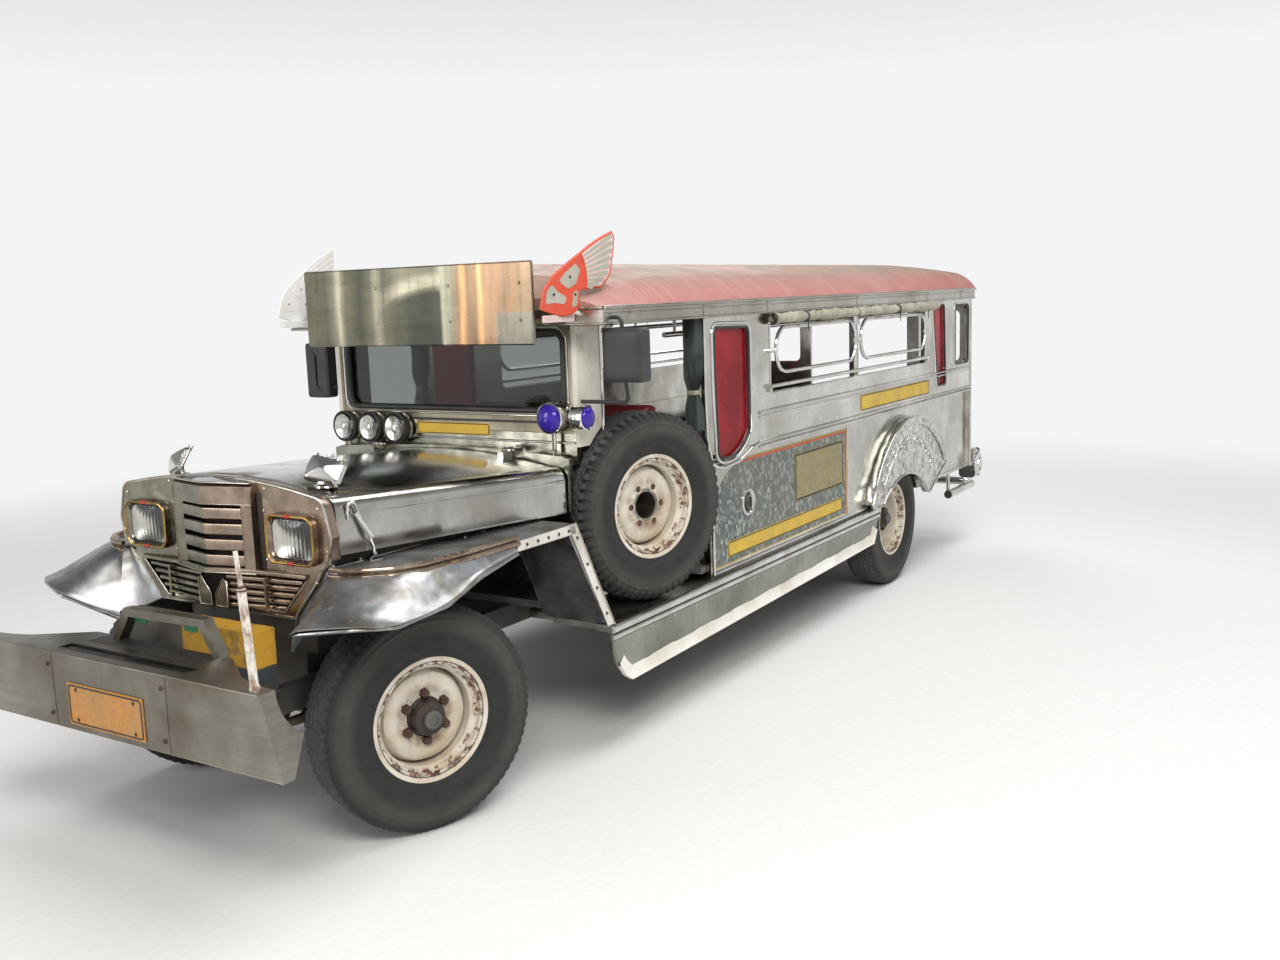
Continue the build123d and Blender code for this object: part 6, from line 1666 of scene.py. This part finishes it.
def grille():
    """Bevelled slats bent to a vee, header, posts, the bar over the fan and the fan's bars."""
    slats = Shape()
    pitch = (1178.0 - 958.0) / 4
    for i in range(4):
        low, high = 960 + pitch * i, 960 + pitch * (i + 0.77)
        vee_section(slats, 152, 366, 403, [(16, low), (6, low), (1, low + 3), (0, low + 6), (0, high - 6),
                                           (1, high - 3), (6, high), (16, high)])
    vee_section(slats, 206, 363, 409, [(22, 1178), (2, 1178), (0, 1181), (2, 1240), (12, 1250), (26, 1256)])
    vee_section(slats, 206, 363, 413, [(22, 938), (2, 938), (0, 942), (0, 954), (3, 958), (22, 958)])
    for side in (1, -1):
        bar = [(14, 940), (0, 940), (-2, 943), (-2, 953), (2, 957), (14, 957)]
        slats.skin([[(x - d, side * y, z) for d, z in bar] for y, x in ((200, 364), (428, 349))])
        slats.box((341, 364.5), span(side, 152, 205), (944, 1232))
        slats.tube([(364, side * 154, 948), (364, side * 154, 1180)], 2.6, 8)
        slats.tube([(364, side * 203, 948), (364, side * 203, 1228)], 2.6, 8)
    fan_pitch = (938.0 - 815.0) / 5
    for side in (1, -1):
        for i in range(5):
            low = 817 + fan_pitch * i
            high = low + fan_pitch * 0.66
            share = (low - 813) / (940 - 813)
            reach = 306 + 116 * share
            bar = [(16, low), (4, low), (0, low + 4), (0, high - 4), (4, high), (16, high)]
            slats.skin([[(x - d, side * y, z) for d, z in bar] for y, x in ((66, 380), (reach, 340))])
        slats.box((360, 374), span(side, 246, 256), (817, 936))
        plate = [(12, 816), (74, 816), (74, 906), (58, 918), (12, 858)]
        slats.slab("x", (378, 386), [(side * u, z) for u, z in plate])
    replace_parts(slats.piece("grille_slats", "grille_steel", bevel=1.0, smooth=24), "grille")
    lips = Shape()
    for side in (1, -1):
        lips.tube([(386.5, side * u, z) for u, z in ((12, 816), (74, 816), (74, 906), (58, 918), (12, 858),
                                                     (12, 816))], 2.6, 8)
        lips.tube([(341, side * u, z) for u, z in ((427, 937), (308, 815), (70, 815))], 4.0, 8)
    lips.tube([(364, -205, 1254), (410, 0, 1256), (364, 205, 1254)], 3.2, 8)
    lips.tube([(364, -205, 941), (414, 0, 941), (364, 205, 941)], 2.4, 8)
    lips.tube([(364, -205, 1180), (410, 0, 1180), (364, 205, 1180)], 1.8, 8)
    lips.piece("grille_lips", "bead_steel", smooth=60)
    nose = Shape()
    front = [(365, -207, 1252), (411, 0, 1256), (365, 207, 1252)]
    back = [(338, -207, 1252.5), (338, 0, 1267), (338, 207, 1252.5)]
    for drop in (0.0, 3.0):
        nose.sheet([[(x, y, z - drop) for x, y, z in row] for row in (front, back)])
    nose.piece("header_cap", "mirror_glass", bevel=0.6, smooth=10)
    dark = Shape()
    dark.box((304, 307), (-178, 178), (946, 1206))
    dark.slab("x", (304, 307), [(-424, 938), (-304, 815), (304, 815), (424, 938)])
    for side in (1, -1):
        dark.box((340.4, 341.6), span(side, 208, 232), (962, 1216))
    dark.piece("grille_shadow", "hub_dark")


def sill_cover(side):
    """Plain skin of the skirt, the bright nosing with two ridges and dark rods of painted shade in its
    crease and along its edges, and the blank side board.
    """
    tag = TAGS[side]
    skin = Shape()
    outline = curve((-838, 470), ((-872, 372), (-950, 286)), (-3614, 337), (-3722, 470))
    skin.slab("y", span(side, 849.3, 850.2), outline)
    skin.piece("skirt_skin_" + tag, "skirt_steel")
    nose = Shape()
    section = []
    for middle, high, out in ((516, 17, 15.0), (483, 12, 11.0)):
        section += [(0.3 + out * math.cos(a), middle + high * math.sin(a)) for a in
                    (math.pi * (0.5 - k / 10) for k in range(11))]
    ends = (SILL_FRONT - 3, SILL_BACK + 6)
    nose.skin([[(x, side * (BODY_HALF + out), z) for out, z in section] for x in ends])
    # Painted shade: dark rods in the crease between the ridges and along the nosing's top and bottom edges.
    for out, z, r in ((3.0, 497, 3.4), (1.5, 534.5, 2.2), (0.6, 470, 2.2)):
        nose.tube([(x, side * (BODY_HALF + out), z) for x in ends], r, 6, mark=1)
    nose.piece("sill_moulding_" + tag, ["chrome", "hub_dark"], smooth=60)
    tan = Shape()
    tan.box((-3241, -2611), span(side, 827.9, 829.1), (744, 996))
    ring = [(-2926 + u, 870 + v) for u, v in rounded(306, 117, 10, 3)]
    strip(tan, ring, 9, (829.0, 829.9), side, closed=True, mark=1)
    tan.piece("side_plate_" + tag, ["tan_plate", "hub_dark"])


def bumper_painted_shade():
    """Black sheets of painted shade: one under the deck behind the bumper, and strips on the deck behind
    the hoop and in its slots.
    """
    shape = Shape()
    # Painted shade: a black sheet under the deck.
    shape.box((592, 818), (-560, 560), (652, 655))
    # Painted shade: black strips laid on the deck.
    for x, y in (((612, 692), (-282, 312)), ((732, 739), (-310, 350)), ((785, 792), (-310, 350))):
        shape.box(x, y, (BUMPER_TOP - 1, BUMPER_TOP + 0.7))
    shape.piece("bumper_painted_shade", "gasket")


def dress_frame():
    """Materials of the CAD nodes that keep their own shape."""
    rows = [("hood", "mirror_steel", 2.5), ("face_panel", "face_steel", 2.0), ("cowl", "cowl_steel", 1.5),
            ("screen_frame", "screen_paint", 2.0), ("screen_glass", "clear_glass", 0), ("roof", "roof", 0),
            ("roof_band", "band_steel", 3.0), ("side_left", "body_steel", 2.0),
            ("side_right", "body_steel", 2.0), ("red_panes", "red_acrylic", 0),
            ("rear_frame", "body_steel", 2.0), ("floor", "floor", 1.0), ("hand_rails", "chrome", 0),
            ("running_boards", "sill_steel", 1.5), ("arch_covers", "arch_metal", 2.0),
            ("bumper", "bumper", 1.5), ("plates", "yellow", 0.8), ("sign_board", "sign_steel", 0),
            ("side_mirrors", "mirror_case", 0), ("rear_bar", "chrome", 0), ("chassis", "frame_dark", 1.5),
            ("front_axle", "frame_dark", 1.5), ("rear_axle", "frame_dark", 1.0),
            ("leaf_springs", "frame_dark", 1.0), ("knuckle_left", "frame_dark", 1.0),
            ("knuckle_right", "frame_dark", 1.0), ("tie_rod", "frame_dark", 0), ("engine", "engine", 3.0),
            ("driveline", "frame_dark", 1.5), ("exhaust", "exhaust", 0), ("steering", "mirror_case", 0),
            ("lamps", "chrome", 1.0), ("window_rails", "chrome", 0)]
    for node, look, bevel in rows:
        dress(node, look, bevel)


# Stage


PALE = (0.90, 0.905, 0.91)
FLOOR_RADIUS = 60.0


def floor_look():
    """Pale matt floor that fades into the pale background far out."""
    look = Look("studio_floor", (0.72, 0.71, 0.69), 0.75)
    speck = look.noise(40.0, 6.0)
    look.set("Base Color", look.ramp(speck, (0.3, (0.70, 0.69, 0.67)), (0.7, (0.745, 0.735, 0.715))))
    look.bump(speck, 0.04, 0.002)
    glow = look.node("ShaderNodeEmission")
    look.join((*PALE, 1.0), glow.inputs["Color"])
    look.blend(look.times(look.step(look.radius("X", "Y"), 4.2, 9.5), look.seen()), look.shader.outputs[0],
               glow.outputs[0], look.tree.nodes["Material Output"].inputs["Surface"])
    return look.material


def sky():
    """Pale background for the eye, metal and glass, darker overhead, and an even dim fill."""
    world = bpy.data.worlds.new("studio")
    bpy.context.scene.world = world
    world.use_nodes = True
    nodes = Nodes(world.node_tree)
    nodes.tree.nodes.clear()
    split = nodes.node("ShaderNodeSeparateXYZ")
    nodes.join(nodes.node("ShaderNodeTexCoord").outputs["Generated"], split.inputs[0])
    height = nodes.ramp(split.outputs["Z"], (0.0, PALE), (0.16, PALE), (0.42, (0.42, 0.43, 0.44)),
                        (1.0, (0.16, 0.165, 0.17)))
    shown, fill = nodes.node("ShaderNodeBackground"), nodes.node("ShaderNodeBackground")
    nodes.join(height, shown.inputs["Color"])
    nodes.join((0.93, 0.96, 1.0, 1.0), fill.inputs["Color"])
    nodes.join(0.42, fill.inputs["Strength"])
    nodes.blend(nodes.seen(), fill.outputs[0], shown.outputs[0],
                nodes.node("ShaderNodeOutputWorld").inputs["Surface"])


def lamp(name, place, aim, size, power, color=(1, 1, 1)):
    """Soft box at a place in metres, pointing at a place."""
    data = bpy.data.lights.new(name, "AREA")
    data.shape = "RECTANGLE"
    data.size, data.size_y = size
    data.energy = power
    data.color = color
    obj = linked(name, data)
    obj.location = place
    obj.rotation_euler = (Vector(aim) - Vector(place)).to_track_quat("-Z", "Y").to_euler()


def studio():
    """Wide round floor just under the wheels, the sky and four soft lamps."""
    mesh = bpy.data.meshes.new("studio_floor")
    steps = 96
    turns = [2 * math.pi * k / steps for k in range(steps)]
    rim = [(FLOOR_RADIUS * math.cos(a), FLOOR_RADIUS * math.sin(a), -0.0005) for a in turns]
    mesh.from_pydata(rim, [], [tuple(range(steps))])
    mesh.materials.append(floor_look())
    linked("studio_floor", mesh)
    sky()
    lamp("key_box", (6.5, 5.5, 6.5), (0.5, 0, 0.9), (5.0, 3.0), 560, (1.0, 0.98, 0.95))
    lamp("top_box", (-1.0, 2.5, 7.5), (-1.0, 0, 1.0), (8.0, 3.5), 420, (0.97, 0.985, 1.0))
    lamp("back_box", (-7.0, -5.0, 5.5), (-1.0, 0, 1.0), (5.0, 3.0), 260)
    lamp("front_box", (8.5, -3.5, 3.5), (1.5, 0, 0.9), (3.0, 3.0), 170)


# The camera's place from the front axle in metres, and its axes
EYE = (3.0907, 3.5003, 1.8447)
EYE_RIGHT = (-0.53189647, 0.84613395, -0.03381545)
EYE_DOWN = (0.1460931, 0.05235655, -0.9878844)
EYE_FORWARD = (-0.83411207, -0.53039243, -0.1514626)
EYE_LENS = 34.30


def camera():
    """The photo's camera."""
    data = bpy.data.cameras.new("photo_view")
    data.lens = EYE_LENS
    data.sensor_width = 36.0
    data.clip_start, data.clip_end = 0.05, 200.0
    turn = Matrix((EYE_RIGHT, -Vector(EYE_DOWN), -Vector(EYE_FORWARD))).transposed().to_4x4()
    bpy.context.scene.camera = linked("photo_view", data,
                                      Matrix.Translation((AXLE + EYE[0], EYE[1], EYE[2])) @ turn)


camera()
studio()
dress_frame()
wheels()
for way in TAGS:
    for build in (head_lamp, hood_latch, front_fender, fender_trim, rolled_curtain, tied_curtain,
                  hood_trim, side_trim, sill_trim, sill_cover, arch_trim, wing):
        build(way)
for build in (seats, grille, bumper_painted_shade, face_trim, screen_trim, small_lamps, bumper_trim, band_trim,
              mirror_trim):
    build()

bpy.context.scene.view_settings.view_transform = "Standard"
